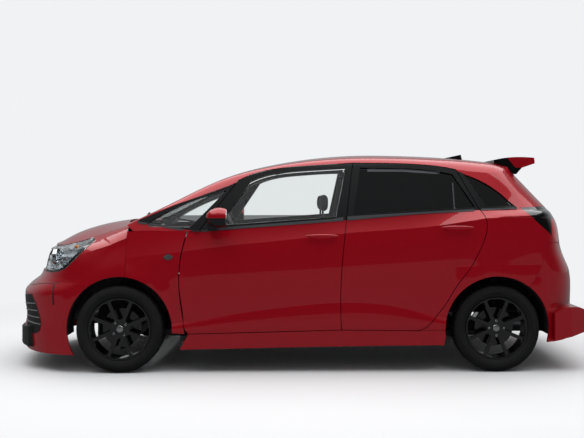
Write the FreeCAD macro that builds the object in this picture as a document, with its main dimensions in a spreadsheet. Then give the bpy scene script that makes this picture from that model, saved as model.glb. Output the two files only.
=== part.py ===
import FreeCAD, Part
import math
import os

import Sketcher
from FreeCAD import Vector

# Five-door hatchback car, nose towards -X, right-hand drive, standing on its tyres at Z = 0.
# The origin is on the ground under the middle of the car. Millimetres.

os.makedirs("parts", exist_ok=True)
doc = FreeCAD.newDocument("Hatchback")

# Driving dimensions

SIZES = [
    ("wheelbase", 2530, "front axle to rear axle"),
    ("front_overhang", 865, "front lip to front axle"),
    ("rear_overhang", 695, "rear axle to the tip of the rear under-spoiler"),
    ("body_width", 1694, "widest pair of arches"),
    ("roof_height", 1488, "top of the roof above ground"),
    ("belt_height", 1025, "window sill of the front door above ground"),
    ("sill_height", 165, "underside of the side skirts above ground"),
    ("track_front", 1484, "front tyre centres"),
    ("track_rear", 1474, "rear tyre centres"),
    ("tyre_radius", 292, "ground to hub, tyre loaded"),
    ("tyre_width", 185, "tyre section"),
    ("rim_radius", 207, "outside of the wheel at its flange"),
    ("rim_width", 150, "wheel width over flanges"),
    ("barrel_thickness", 8, "wheel barrel with its flange"),
    ("arch_radius", 353, "wheel arch edge about the hub"),
    ("kingpin_offset", 52, "wheel centre to the steering axis"),
    ("liner_thickness", 5, "wheel housing wall"),
    ("spoke_count", 8, "wheel spokes"),
    ("spoke_width", 24, "wheel spoke"),
    ("wheel_face", 62, "wheel centre to the face of the spokes"),
    ("spoke_depth", 18, "spokes, front to back"),
    ("disc_radius", 131, "brake disc"),
    ("disc_thickness", 22, "brake disc"),
    ("shut_gap", 5, "gap around doors and lids"),
    ("panel_gap", 0.8, "gap between fixed panels"),
    ("door_thickness", 62, "door shell, skin to trim"),
    ("door_flange", 12, "door skin with its hem"),
    ("door_step", 18, "door frame inside the skin's edge"),
    ("handle_reach", 28, "middle of the grip bar outside the door skin"),
    ("door_overlap", 32, "body rebate behind the door's edge"),
    ("pillar_depth", 100, "body side, skin to trim"),
    ("roof_thickness", 26, "roof skin to headlining"),
    ("wing_thickness", 26, "front wing with its flange"),
    ("bumper_thickness", 24, "bumper skin with its foam"),
    ("bonnet_thickness", 26, "bonnet skin to frame"),
    ("tailgate_thickness", 48, "tailgate skin to trim"),
    ("glass_thickness", 4, "side glass"),
    ("screen_thickness", 5, "windscreen"),
    ("glass_inset", 12, "side glass behind the door skin"),
    ("glass_clearance", 0.3, "glass edge to its channel"),
    ("skirt_thickness", 46, "side skirt over the sill"),
    ("lamp_depth", 60, "headlamp, lens to housing"),
    ("tail_lamp_depth", 40, "tail lamp, lens to housing"),
    ("grille_inset", 12, "grille behind the bumper skin"),
    ("grille_thickness", 8, "grille bars, front to back"),
    ("seat_clearance", 5, "moving piece to its neighbour"),
    ("rest_gap", 0.3, "fitted piece to the seat that carries it"),
    ("steering_tilt", 66, "steering column from upright, degrees"),
    ("floor_height", 205, "underside of the floor above ground"),
    ("floor_thickness", 40, "floor pan with its ribs"),
    ("steering_wheel_radius", 180, "steering wheel rim"),
]

sheet = doc.addObject("Spreadsheet::Sheet", "Sizes")
for row, (alias, value, meaning) in enumerate(SIZES, start=1):
    sheet.set("A%d" % row, alias)
    sheet.set("B%d" % row, str(value))
    sheet.set("C%d" % row, meaning)
    sheet.setAlias("B%d" % row, alias)
doc.recompute()


def size(alias):
    return float(sheet.get(alias))


# Stations of the car

front_axle = size("front_overhang") - (size("front_overhang") + size("wheelbase") + size("rear_overhang")) / 2
rear_axle = front_axle + size("wheelbase")
nose_end = front_axle - size("front_overhang")
tail_end = rear_axle + size("rear_overhang")
half_body = size("body_width") / 2
hub_height = size("tyre_radius")

# The styling lines below are drawn on a car of these stations, and stretch with the driving dimensions.

DRAWN_X = [-2045, -1180, 1350, 2045]
DRAWN_Y = [0, 847]
DRAWN_Z = [0, 165, 1025, 1488]
BUILT_X = [nose_end, front_axle, rear_axle, tail_end]
BUILT_Y = [0, half_body]
BUILT_Z = [0, size("sill_height"), size("belt_height"), size("roof_height")]


def stretch(value, drawn, built):
    """Piecewise straight map from one list of stations to another."""
    step = 0
    while step < len(drawn) - 2 and value > drawn[step + 1]:
        step += 1
    share = (value - drawn[step]) / (drawn[step + 1] - drawn[step])
    return built[step] + share * (built[step + 1] - built[step])


def bx(x):
    return stretch(x, DRAWN_X, BUILT_X)


def by(y):
    return stretch(y, DRAWN_Y, BUILT_Y)


def bz(z):
    return stretch(z, DRAWN_Z, BUILT_Z)


def line_of(*points):
    """Smooth curve through (station, value) points, held level beyond its ends."""
    curve = Part.BSplineCurve()
    curve.interpolate(Points=[Vector(a, 0, b) for a, b in points], Parameters=[float(a) for a, b in points])
    low, high = points[0][0], points[-1][0]

    def at(station):
        return curve.value(min(max(station, low), high)).z

    return at


# Styling lines of the side: height and half width at each line, by station

skirt_bottom = line_of((-1600, 150), (-816, 156), (293, 177), (980, 184), (1700, 200))
skirt_top = line_of((-1600, 250), (-714, 261), (813, 283), (1700, 300))
lower_crease = line_of((-1400, 290), (-672, 351), (-340, 404), (26, 449), (326, 469), (627, 448), (895, 387), (1400, 330))
body_mid = line_of((-1700, 560), (-700, 610), (300, 650), (1300, 720), (1900, 740))
upper_crease = line_of((-1750, 700), (-1300, 750), (-762, 811), (-514, 843), (33, 899), (313, 931), (959, 985),
                       (1230, 1026), (1521, 1060), (1800, 1080))
belt_line = line_of((-1140, 945), (-1011, 950), (-740, 948), (-456, 961), (343, 1021), (800, 1062), (1242, 1088),
                    (1496, 1099), (1800, 1104))
pillar_line = line_of((-1140, 985), (-1095, 1008), (-797, 1135), (-449, 1260), (-331, 1320), (-198, 1359), (20, 1386),
                      (218, 1399), (391, 1410), (734, 1405), (908, 1394), (1059, 1373), (1300, 1345))

plan_width = line_of((-2045, 800), (-1500, 814), (-1180, 830), (-700, 838), (0, 843), (700, 845), (1350, 846),
                     (1700, 832), (2045, 815))
shoulder_step = line_of((-2045, -90), (-1500, -70), (-1000, -60), (-456, -53), (300, -51), (1100, -62), (1500, -80),
                        (1900, -95))
glass_lean = 0.40
roof_edge = line_of((-1140, 690), (-808, 645), (-535, 610), (-207, 580), (300, 562), (1000, 548), (1440, 530))

# Centre line of the car seen from the side

windscreen_line = line_of((-1300, 950), (-1175, 1002), (-808, 1181), (-535, 1313), (-207, 1410), (148, 1468),
                          (422, 1488), (696, 1488), (971, 1478), (1218, 1460), (1440, 1434))
roof_crown = line_of((-1300, 30), (-808, 55), (-535, 65), (-207, 80), (300, 112), (1000, 112), (1440, 100))
bonnet_line = line_of((-1800, 835), (-1759, 849), (-1653, 905), (-1517, 957), (-1382, 990), (-1228, 1013),
                      (-1100, 1026))
bonnet_crown = line_of((-1800, 330), (-1653, 310), (-1517, 285), (-1398, 240), (-1228, 140), (-1100, 60))

nose_profile = line_of((100, -1975), (150, -1990), (231, -1996), (300, -1988), (388, -1982), (453, -1990),
                       (518, -1986), (560, -1950), (600, -1895), (650, -1862), (720, -1846), (774, -1830),
                       (830, -1798), (870, -1760), (1000, -1640))
nose_corner = 520
nose_power = 2.2
tail_profile = line_of((150, 1975), (300, 1990), (500, 1992), (620, 1984), (700, 1960), (790, 1915), (900, 1887),
                       (1000, 1866), (1090, 1812), (1240, 1682), (1392, 1545), (1450, 1492))
tail_corner = line_of((150, 380), (600, 380), (900, 275), (1110, 255), (1400, 250))
tail_power = 2.6

FLARE_DEPTH = 12
FLARE_REACH = 60


def side_offset(x, z):
    """Half width from the body's plan line at a drawn station and height."""
    z_bottom, z_skirt, z_low = skirt_bottom(x), skirt_top(x), lower_crease(x)
    z_mid, z_high, z_belt = body_mid(x), upper_crease(x), belt_line(x)
    step = shoulder_step(x)
    if z <= z_skirt:
        return -11 - 3 * (z_skirt - z) / (z_skirt - z_bottom)
    if z <= z_low:
        share = (z - z_skirt) / (z_low - z_skirt)
        return -11 + 40 * share * (1 - share)
    if z <= z_high:
        low_part = (z - z_low) / (z_mid - z_low)
        high_part = (z - z_mid) / (z_high - z_mid)
        if z < z_mid:
            return -11 * (1 - low_part) ** 2
        return -21 * high_part ** 2
    if z <= z_belt:
        share = (z - z_high) / (z_belt - z_high)
        return -21 + (step + 21) * share - 8 * share * (1 - share)
    return step - glass_lean * (z - z_belt)


def flare(x, z):
    """Swelling of the side around the two wheel arches."""
    swell = 0
    for hub in (DRAWN_X[1], DRAWN_X[2]):
        reach = math.hypot(x - hub, z - 292) - 352
        swell = max(swell, FLARE_DEPTH * math.exp(-(reach / FLARE_REACH) ** 2))
    return swell


def side_width(x, z):
    return plan_width(x) + side_offset(x, z) + flare(x, z)


def roof_top(x, y):
    return windscreen_line(x) - roof_crown(x) * (y / 1000) ** 2


def bonnet_top(x, y):
    return bonnet_line(x) - bonnet_crown(x) * (y / 1000) ** 2


# Surface building


def spread(low, high, count):
    return [low + (high - low) * step / (count - 1) for step in range(count)]


def surface_through(grid, along, across):
    """Smooth surface through rows of points, with the same stations along every row."""
    rows = []
    for line in grid:
        curve = Part.BSplineCurve()
        curve.interpolate(Points=line, Parameters=along)
        rows.append(curve)
    row_poles = [curve.getPoles() for curve in rows]
    columns = []
    for number in range(len(row_poles[0])):
        curve = Part.BSplineCurve()
        curve.interpolate(Points=[poles[number] for poles in row_poles], Parameters=across)
        columns.append(curve)
    surface = Part.BSplineSurface()
    surface.buildFromPolesMultsKnots(
        [curve.getPoles() for curve in columns],
        rows[0].getMultiplicities(), columns[0].getMultiplicities(),
        rows[0].getKnots(), columns[0].getKnots(),
        False, False, rows[0].Degree, columns[0].Degree)
    return surface


def steps(count):
    return [float(number) for number in range(count)]


FORWARD = 1


def slab(outer_zones, inner_zones):
    """Solid between two skins. Each skin is a list of zones that share their edge rows."""
    faces = []
    last = len(outer_zones) - 1
    for number, (outer_grid, inner_grid) in enumerate(zip(outer_zones, inner_zones)):
        along = steps(len(outer_grid[0]))
        across = steps(len(outer_grid))
        outer = surface_through(outer_grid, along, across)
        inner = surface_through(inner_grid, along, across)
        faces += [outer.toShape(), inner.toShape()]
        u_low, u_high, v_low, v_high = outer.bounds()
        for u in (u_low, u_high):
            faces.append(Part.makeRuledSurface(outer.uIso(u).toShape(), inner.uIso(u).toShape(), FORWARD))
        if number == 0:
            faces.append(Part.makeRuledSurface(outer.vIso(v_low).toShape(), inner.vIso(v_low).toShape(), FORWARD))
        if number == last:
            faces.append(Part.makeRuledSurface(outer.vIso(v_high).toShape(), inner.vIso(v_high).toShape(), FORWARD))
    skin = Part.makeCompound(faces)
    skin.sewShape(0.01)
    solid = Part.Solid(skin.Shells[0])
    if solid.Volume < 0:
        solid.reverse()
    return solid


def run_points(segments, flat):
    """Points of each run of a closed outline. Curved runs are followed closely enough to be offset."""
    runs = []
    start = flat(*segments[-1][-1])
    for run in segments:
        points = [start] + [flat(*point) for point in run]
        if len(points) > 2:
            curve = Part.BSplineCurve()
            curve.interpolate(points)
            points = curve.discretize(Number=3 * len(points) - 2)
        runs.append(points)
        start = points[-1]
    return runs


def grown(runs, distance):
    """Outline moved outwards by a distance, or inwards if it is negative."""
    ring = [point for run in runs for point in run[:-1]]
    count = len(ring)
    turn = sum(ring[step].cross(ring[(step + 1) % count]).z for step in range(count))
    side = distance if turn > 0 else -distance
    moved = []
    for step in range(count):
        before = (ring[step] - ring[step - 1]).normalize()
        after = (ring[(step + 1) % count] - ring[step]).normalize()
        first = Vector(before.y, -before.x, 0)
        second = Vector(after.y, -after.x, 0)
        moved.append(ring[step] + (first + second) * (side / (1 + first.dot(second))))
    result = []
    place = 0
    for run in runs:
        length = len(run) - 1
        result.append([moved[(place + step) % count] for step in range(length + 1)])
        place += length
    return result


def outline_wire(segments, grow, flat, lift):
    """Closed wire of straight and smooth runs. Each run starts where the one before it ends."""
    runs = run_points(segments, flat)
    if grow:
        runs = grown(runs, grow)
    edges = []
    for points in runs:
        points = [lift(point) for point in points]
        if len(points) == 2:
            edges.append(Part.LineSegment(points[0], points[1]).toShape())
        else:
            curve = Part.BSplineCurve()
            curve.interpolate(points)
            edges.append(curve.toShape())
    return Part.Wire(edges)


def side_prism(segments, grow, y_low, y_high):
    """Block through the car's side: an outline of drawn (x, z) points, grown by a gap."""
    wire = outline_wire(segments, grow, lambda x, z: Vector(bx(x), bz(z), 0), lambda point: Vector(point.x, y_low, point.y))
    return Part.Face(wire).extrude(Vector(0, y_high - y_low, 0))


def plan_prism(segments, grow, z_low, z_high):
    """Block through the car from above: an outline of drawn (x, y) points, grown by a gap."""
    wire = outline_wire(segments, grow, lambda x, y: Vector(bx(x), by(y), 0), lambda point: Vector(point.x, point.y, z_low))
    return Part.Face(wire).extrude(Vector(0, 0, z_high - z_low))


def end_prism(segments, grow, x_low, x_high):
    """Block through the car's end: an outline of drawn (y, z) points, grown by a gap."""
    wire = outline_wire(segments, grow, lambda y, z: Vector(by(y), bz(z), 0), lambda point: Vector(x_low, point.x, point.y))
    return Part.Face(wire).extrude(Vector(x_high - x_low, 0, 0))


LEFT_OUT = -1100
LEFT_IN = -300


def left_prism(segments, grow=0):
    return side_prism(segments, grow, LEFT_OUT, LEFT_IN)


def cylinder_y(radius, y_low, y_high, x, z):
    return Part.makeCylinder(radius, y_high - y_low, Vector(x, y_low, z), Vector(0, 1, 0))


def mirrored(shape):
    return shape.mirror(Vector(0, 0, 0), Vector(0, 1, 0))


# Stations along the left side: straight stations, then stations that turn round the tail corner

SIDE_STATIONS = spread(-1140, 1300, 34)
TURN_START = 1300
TURN_STEPS = 9
CORNER_X = 1478
CORNER_DROP = 14
tail_edge = line_of((600, 590), (1100, 590), (1300, 570), (1400, 530), (1440, 500))


def side_point(x, z, inset):
    """Point of the left side at a drawn station and height, moved in by an inset."""
    return Vector(bx(x), -(by(side_width(x, z)) - inset), bz(z))


def tail_turn(z):
    """Drawn station where the tail corner starts, and the angle at which it reaches the tailgate."""
    start = tail_profile(z) - tail_corner(z)
    half = side_width(start, z)
    reach = math.acos((tail_edge(z) / half) ** (tail_power / 2))
    return start, reach


def tail_point(z, angle, inset):
    """Point on the rounded tail at a height, at an angle from 0 at the side to a quarter turn at the centre."""
    start = tail_profile(z) - tail_corner(z)
    x_round = math.sin(angle) ** (2 / tail_power)
    y_round = max(0, math.cos(angle)) ** (2 / tail_power)
    half = by(side_width(start + tail_corner(z) * x_round, z)) - inset
    length = bx(tail_profile(z)) - bx(start) - inset
    return Vector(bx(start) + length * x_round, -half * y_round, bz(z))


def side_row(height, inset, lift=0):
    """Points along one height line of the left side, from the windscreen pillar to the tailgate."""
    points = [side_point(x, height(x) - lift, inset) for x in SIDE_STATIONS]
    z_turn = height(TURN_START) - lift
    for step in (0.5, 1.0):
        start, reach = tail_turn(z_turn)
        x = TURN_START + (start - TURN_START) * step
        points.append(side_point(x, z_turn, inset))
    for step in range(1, TURN_STEPS + 1):
        points.append(tail_point(z_turn, reach * step / TURN_STEPS, inset))
    return points


def blend_rows(low, high, count):
    """Height functions between two lines."""
    def at(share):
        return lambda x: low(x) + (high(x) - low(x)) * share
    return [at(number / (count - 1)) for number in range(count)]


def side_zones(inset):
    """Skin of the left side from skirt to pillar line, in zones that meet on the creases."""
    zones = []
    for low, high, count in ((skirt_bottom, skirt_top, 2), (skirt_top, lower_crease, 5), (lower_crease, body_mid, 4),
                             (body_mid, upper_crease, 5), (upper_crease, belt_line, 4)):
        zones.append([side_row(height, inset) for height in blend_rows(low, high, count)])
    zones.append([side_row(height, inset) for height in blend_rows(belt_line, pillar_height(inset), 4)])
    return zones


def pillar_height(inset):
    """Pillar line of a skin that lies inside the outer one by an inset, always above the belt."""
    def at(x):
        rise = pillar_line(x) - belt_line(x)
        return belt_line(x) + rise * rise / (rise + max(inset, 0)) - min(inset, 0)
    return at


def rail_zone(inset):
    """Rounded strip from the pillar line to the roof's edge."""
    start_row = side_row(pillar_height(inset), inset)
    end_row = []
    for number, point in enumerate(start_row):
        if number < len(SIDE_STATIONS):
            x = SIDE_STATIONS[number]
            y = roof_edge(x)
            end_row.append(Vector(bx(x), -(by(y) - inset), bz(roof_top(x, y)) - inset))
        else:
            share = (number - len(SIDE_STATIONS) + 1) / (len(start_row) - len(SIDE_STATIONS))
            x = TURN_START + (CORNER_X - TURN_START) * share
            y = roof_edge(x)
            end_row.append(Vector(bx(x) - inset * share, -(by(y) - inset), bz(roof_top(x, y) - CORNER_DROP * share ** 2) - inset))
    rows = []
    for share in spread(0, 1, 6):
        line = []
        for low, high in zip(start_row, end_row):
            corner = Vector(low.x + (high.x - low.x) * 0.5, low.y + (high.y - low.y) * 0.3, high.z - (high.z - low.z) * 0.12)
            line.append(low * (1 - share) ** 2 + corner * (2 * share * (1 - share)) + high * share ** 2)
        rows.append(line)
    return rows


def left_side_slab(outside, inside):
    return slab(side_zones(outside) + [rail_zone(outside)], side_zones(inside) + [rail_zone(inside)])


# Outlines on the left side, in drawn stations and heights

FRONT_SHUT = [(-757, 391), (-775, 519), (-763, 816), (-731, 938)]
MID_SHUT = [(298, 518), (308, 726), (329, 933), (339, 1023), (391, 1412)]
REAR_SHUT = [(877, 308), (940, 381), (1002, 464), (1065, 568), (1180, 724), (1211, 781), (1258, 880), (1280, 1011),
             (1240, 1092)]
FRONT_TOP = [(218, 1401), (20, 1388), (-198, 1361), (-331, 1322), (-400, 1289)]
REAR_TOP = [(734, 1407), (908, 1396), (1059, 1375), (1098, 1366)]

FRONT_DOOR = [[(303, 287)], MID_SHUT, FRONT_TOP, [(-655, 950)], [(-731, 938)], FRONT_SHUT[::-1][1:] + [(-736, 281), (-715, 261)]]
REAR_DOOR = [[(811, 281)], REAR_SHUT, [(1098, 1366)], REAR_TOP[::-1][1:] + [(391, 1412)],
             MID_SHUT[::-1][1:] + [(303, 287)]]

FRONT_WINDOW = [[(270, 1042)], [(340, 1375)], [(218, 1371), (20, 1357), (-198, 1328), (-308, 1290)], [(-520, 985)]]
REAR_WINDOW = [[(1210, 1110)], [(1072, 1333)], [(908, 1362), (734, 1374), (440, 1380)], [(385, 1055)]]
FRONT_QUARTER = [[(-715, 972)], [(-470, 1228)], [(-797, 1112), (-990, 1010)], [(-1000, 975)]]
REAR_QUARTER = [[(1475, 1118)], [(1309, 1262), (1150, 1335)], [(1290, 1112)]]

# Body sides

# Stations round the nose, from the side to the centre line

NOSE_START = -1140
NOSE_SIDE_STEPS = 7
NOSE_STEPS = 14
HOOD_CORNER = -1640
hood_edge = line_of((-1660, 470), (-1640, 490), (-1550, 555), (-1398, 606), (-1228, 632), (-1100, 650))
hood_front = line_of((-1, -1640), (-0.7, -1728), (0, -1790), (0.7, -1728), (1, -1640))
shoulder_line = line_of((-1900, 745), (-1700, 740), (-1550, 745), (-1400, 790), (-1140, 900))


def nose_point(z, share, inset):
    """Point on the rounded nose at a height. The share runs from 0 at the side to 1 at the centre line."""
    start = nose_profile(z) + nose_corner
    angle = math.pi / 2 * share
    x = start - nose_corner * math.sin(angle) ** (2 / nose_power)
    half = by(side_width(x, z)) - inset
    length = bx(start) - bx(nose_profile(z)) - inset
    return Vector(bx(start) - length * math.sin(angle) ** (2 / nose_power),
                  -half * max(0, math.cos(angle)) ** (2 / nose_power), bz(z))


def nose_row(height, inset):
    """Points along one height line from behind the front wheel round the nose to the centre line."""
    start = NOSE_START
    for attempt in range(6):
        start = nose_profile(height(start)) + nose_corner
    points = [side_point(x, height(x), inset) for x in spread(NOSE_START, start, NOSE_SIDE_STEPS)]
    for step in range(1, NOSE_STEPS + 1):
        guess = start - nose_corner * math.sin(math.pi / 2 * step / NOSE_STEPS) ** (2 / nose_power)
        points.append(nose_point(height(guess), step / NOSE_STEPS, inset))
    return points


def full_row(points):
    """Row from the left side through the centre line to the right side."""
    return points + [Vector(point.x, -point.y, point.z) for point in points[-2::-1]]


def hood_row(inset):
    """Edge of the bonnet from its rear corner to the middle of its front edge."""
    count = NOSE_SIDE_STEPS + NOSE_STEPS
    along = 11
    points = []
    for number in range(count):
        if number <= along:
            x = -1140 + (HOOD_CORNER + 1140) * number / along
            y = hood_edge(x)
        else:
            share = 1 - (number - along) / (count - 1 - along)
            x = hood_front(share)
            y = hood_edge(HOOD_CORNER) * share
        points.append(Vector(bx(x), -by(y), bz(bonnet_top(x, y)) - inset))
    return points


def bumper_height(z):
    return lambda x: z


def nose_zones(inset):
    zones = []
    for low, high, count in ((120, 300, 3), (300, 518, 4), (518, 600, 4)):
        zones.append([full_row(nose_row(bumper_height(z), inset)) for z in spread(low, high, count)])
    zones.append([full_row(nose_row(height, inset)) for height in
                  blend_rows(bumper_height(600), shoulder_line, 4)])
    return zones


def wing_top_zone(inset):
    """Rounded strip from the shoulder of the wing and nose to the bonnet's edge."""
    start_row = nose_row(shoulder_line, inset)
    end_row = hood_row(inset)
    rows = []
    for share in spread(0, 1, 6):
        line = []
        for low, high in zip(start_row, end_row):
            corner = Vector(low.x + (high.x - low.x) * 0.25, low.y + (high.y - low.y) * 0.2, low.z + (high.z - low.z) * 0.75)
            line.append(low * (1 - share) ** 2 + corner * (2 * share * (1 - share)) + high * share ** 2)
        rows.append(full_row(line))
    return rows


def nose_slab(outside, inside):
    return slab(nose_zones(outside) + [wing_top_zone(outside)], nose_zones(inside) + [wing_top_zone(inside)])


# Pieces of the finished car, in the order in which they are written

pieces = []


def add_piece(name, shape):
    """A sub-part whose shape comes from the styling surfaces."""
    piece = doc.addObject("Part::Feature", name)
    piece.Label = name
    piece.Shape = shape
    pieces.append(piece)
    return piece


# Skins over the centre line


def top_slab(rear_edge, front_edge, side_edge, surface, thickness, along, across):
    """Skin over the centre line. The edges are drawn stations or half widths, given by a share of the width."""
    def zone(inset):
        rows = []
        for share in spread(0, 1, along):
            row = []
            for part in spread(-1, 1, across):
                x = rear_edge(part) + (front_edge(part) - rear_edge(part)) * share
                y = side_edge(x) * part
                row.append(Vector(bx(x), by(y), bz(surface(x, y)) - inset))
            rows.append(row)
        return rows
    return slab([zone(0)], [zone(thickness)])


def level(value):
    return lambda share: value


def inside_of(line, gap):
    return lambda x: line(x) - gap


# Skins across the tail

HINGE_LINE = 1390
HINGE_TOP = 1446


def tail_row(z, inset, gap):
    """Points across the tail at one height, from tailgate edge to tailgate edge."""
    start, reach = tail_turn(z)
    half = side_width(start, z)
    edge = math.acos(((tail_edge(z) - gap) / half) ** (tail_power / 2))
    return full_row([tail_point(z, angle, inset) for angle in spread(edge, math.pi / 2, 9)])


def tailgate_zones(inset, gap):
    zones = []
    for low, high, count in ((700, 1017, 5), (1017, 1392, 6)):
        zones.append([tail_row(z, inset, gap) for z in spread(low, high, count)])
    top = []
    for point in zones[-1][-1]:
        share = point.y / abs(zones[-1][-1][0].y)
        y = (roof_edge(HINGE_LINE) - gap) * share
        top.append(Vector(bx(HINGE_LINE), by(y), bz(roof_top(HINGE_LINE, y)) - inset))
    rows = []
    for share in spread(0, 1, 5):
        line = []
        for low, high in zip(zones[-1][-1], top):
            corner = Vector((low.x + high.x) / 2, (low.y + high.y) / 2, high.z - (high.z - low.z) * 0.2)
            line.append(low * (1 - share) ** 2 + corner * (2 * share * (1 - share)) + high * share ** 2)
        rows.append(line)
    zones.append(rows)
    return zones


# Body sides and doors


def largest(shape):
    """Largest solid of a result."""
    return max(shape.Solids, key=lambda solid: solid.Volume)


left_thick = left_side_slab(0, size("pillar_depth"))
left_recess = left_side_slab(-40, size("door_thickness") + size("seat_clearance"))
left_skin = left_side_slab(0, size("door_flange"))
left_frame = left_side_slab(size("door_flange"), size("door_thickness"))
left_glass = left_side_slab(size("glass_inset"), size("glass_inset") + size("glass_thickness"))

front_arch = cylinder_y(size("arch_radius"), -1200, 1200, front_axle, hub_height)
rear_arch = cylinder_y(size("arch_radius"), -1200, 1200, rear_axle, hub_height)

roof_clear = top_slab(level(CORNER_X), level(-1150), inside_of(roof_edge, size("panel_gap") / 2),
                      lambda x, y: roof_top(x, y) + 20, size("roof_thickness") + 20 + size("panel_gap") / 2, 14, 13)
tailgate_clear = slab(tailgate_zones(-30, size("panel_gap")),
                      tailgate_zones(size("tailgate_thickness") + size("seat_clearance"), size("panel_gap")))

SIDE_FRAME = [[(-1095, 945)], [(-1139, 985)], [(-1139, 1600)], [(1530, 1600)], [(2000, 1100)], [(2100, 868)],
              [(1712, 868)], [(1640, 695)], [(1560, 560)], [(1350, 560)], [(1350, 200)], [(-725, 200)], [(-732, 500)],
              [(-732, 945)]]
SKIRT = [[(-810, 100)], [(-722, 255)], [(-715, 258.5)], [(303, 284.5)], [(811, 278.5)], [(1010, 283)], [(970, 100)]]
TAIL_LAMP = [[(1521, 1105)], [(1640, 991)], [(1785, 868)], [(2000, 868)], [(2000, 1066)], [(1700, 1112)]]
floor_top = size("floor_height") + size("floor_thickness")
below_floor = Part.makeBox(6000, 3000, floor_top + size("glass_clearance"), Vector(-3000, -1500, 0))

skirt_clear = left_side_slab(-20, size("skirt_thickness") + size("glass_clearance")).common(
    left_prism(SKIRT, 2))

body_side = left_thick.common(left_prism(SIDE_FRAME))
for outline in (FRONT_DOOR, REAR_DOOR):
    body_side = body_side.cut(left_recess.common(left_prism(outline, size("shut_gap") / 2)))
    body_side = body_side.cut(left_prism(outline, -size("door_overlap")))
for outline in (FRONT_QUARTER, REAR_QUARTER):
    body_side = body_side.cut(left_prism(outline))
body_side = body_side.cut(rear_arch).cut(left_prism(TAIL_LAMP, size("panel_gap"))).cut(below_floor)
body_side = body_side.cut(roof_clear).cut(tailgate_clear).cut(skirt_clear)

# The front corner of the tailgate dips into the roof rail as it opens, so its path is cleared
gate_corner = slab(tailgate_zones(0, size("panel_gap")), tailgate_zones(size("tailgate_thickness") + 3, size("panel_gap")))
gate_corner = gate_corner.common(Part.makeBox(80, 60, 120, Vector(bx(HINGE_LINE) - 5, -by(550), bz(HINGE_TOP) - 120)))
for angle in spread(2.5, 50, 20):
    swung = gate_corner.copy()
    swung.rotate(Vector(bx(HINGE_LINE), 0, bz(HINGE_TOP)), Vector(0, -1, 0), angle)
    body_side = body_side.cut(swung)
body_side = largest(body_side)
add_piece("body_side_left", body_side)
add_piece("body_side_right", mirrored(body_side))

seal_slab = left_side_slab(size("door_thickness") + size("rest_gap"),
                           size("door_thickness") + size("seat_clearance") - size("rest_gap"))
seal_edge = size("shut_gap") / 2 + size("door_step") + 1
seals = []
for outline in (FRONT_DOOR, REAR_DOOR):
    ring = seal_slab.common(left_prism(outline, -seal_edge)).cut(left_prism(outline, 1 - size("door_overlap")))
    seals.append(largest(ring.cut(below_floor)))
add_piece("door_seals", Part.makeCompound(seals + [mirrored(ring) for ring in seals]))


def handle(x, z):
    """Grip bar on two feet in front of the door skin."""
    half = by(side_width(x, z))
    grip = Part.makeSphere(1)
    scale = FreeCAD.Matrix()
    scale.scale(112, 8, 12)
    grip = grip.transformGeometry(scale)
    grip.translate(Vector(bx(x), -half - size("handle_reach"), bz(z)))
    for step in (-76, 76):
        grip = grip.fuse(Part.makeCylinder(9, 80, Vector(bx(x) + step, -half - size("handle_reach"), bz(z)), Vector(0, 1, 0)))
    clear = left_thick.copy()
    clear.translate(Vector(0, -size("rest_gap"), 0))
    return largest(grip.cut(clear))


def door_shape(outline, window):
    """Door shell: a skin with a flange all round, and a thicker frame inside it."""
    skin = left_skin.common(left_prism(outline, -size("shut_gap") / 2))
    frame = left_frame.common(left_prism(outline, -size("shut_gap") / 2 - size("door_step")))
    return largest(skin.fuse(frame).cut(left_prism(window)))


DOORS = (("front", FRONT_DOOR, FRONT_WINDOW, (170, 916)), ("rear", REAR_DOOR, REAR_WINDOW, (1078, 973)))
for place, outline, window, grip in DOORS:
    door = door_shape(outline, window)
    pane = largest(left_glass.common(left_prism(window, -size("glass_clearance"))))
    for name, shape in (("door", door), ("window", pane), ("handle", handle(*grip))):
        add_piece("%s_%s_left" % (name, place), shape)
        add_piece("%s_%s_right" % (name, place), mirrored(shape))

quarters = [largest(left_glass.common(left_prism(outline, -size("glass_clearance"))))
            for outline in (FRONT_QUARTER, REAR_QUARTER)]
add_piece("quarter_windows", Part.makeCompound(quarters + [mirrored(pane) for pane in quarters]))

# Nose

nose_shell = nose_slab(0, size("bumper_thickness"))
BUMPER = [[(-1400, 50)], [(-1400, 572)], [(-1590, 637)], [(-1672, 646)], [(-1722, 1000)], [(-2200, 1000)], [(-2200, 50)]]
LAMP = [[(-1675, 658)], [(-1617, 669)], [(-1559, 692)], [(-1501, 745)], [(-1425, 821)], [(-1370, 879)], [(-1408, 903)],
        [(-1559, 890)], [(-1640, 870)], [(-1790, 800)], [(-1790, 658)]]
WINGS = [[(-1139, 300)], [(-1139, 1300)], [(-1722, 1300)], [(-1722, 1000)], [(-1672, 646)], [(-1590, 637)],
         [(-1400, 572)], [(-1400, 300)]]
WING_REAR = [[(-1138, 300)], [(-745, 262)], [(-763, 391), (-780, 519), (-768, 816), (-737, 938)], [(-745, 944.6)],
             [(-1138, 944.6)]]
GRILLE = [[(-500, 668)], [(-470, 800)], [(0, 815)], [(470, 800)], [(500, 668)], [(0, 655)]]
INTAKE = [[(-420, 250)], [(-470, 400)], [(0, 420)], [(470, 400)], [(420, 250)], [(0, 240)]]


def whole_prism(segments, grow=0):
    return side_prism(segments, grow, -1100, 1100)


lamp_hole = whole_prism(LAMP, size("panel_gap"))
front_bumper = nose_shell.common(whole_prism(BUMPER, -size("panel_gap") / 2)).cut(front_arch).cut(lamp_hole)
for outline in (GRILLE, INTAKE):
    front_bumper = front_bumper.cut(end_prism(outline, 0, -2300, -1500))
add_piece("front_bumper", largest(front_bumper))

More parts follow.
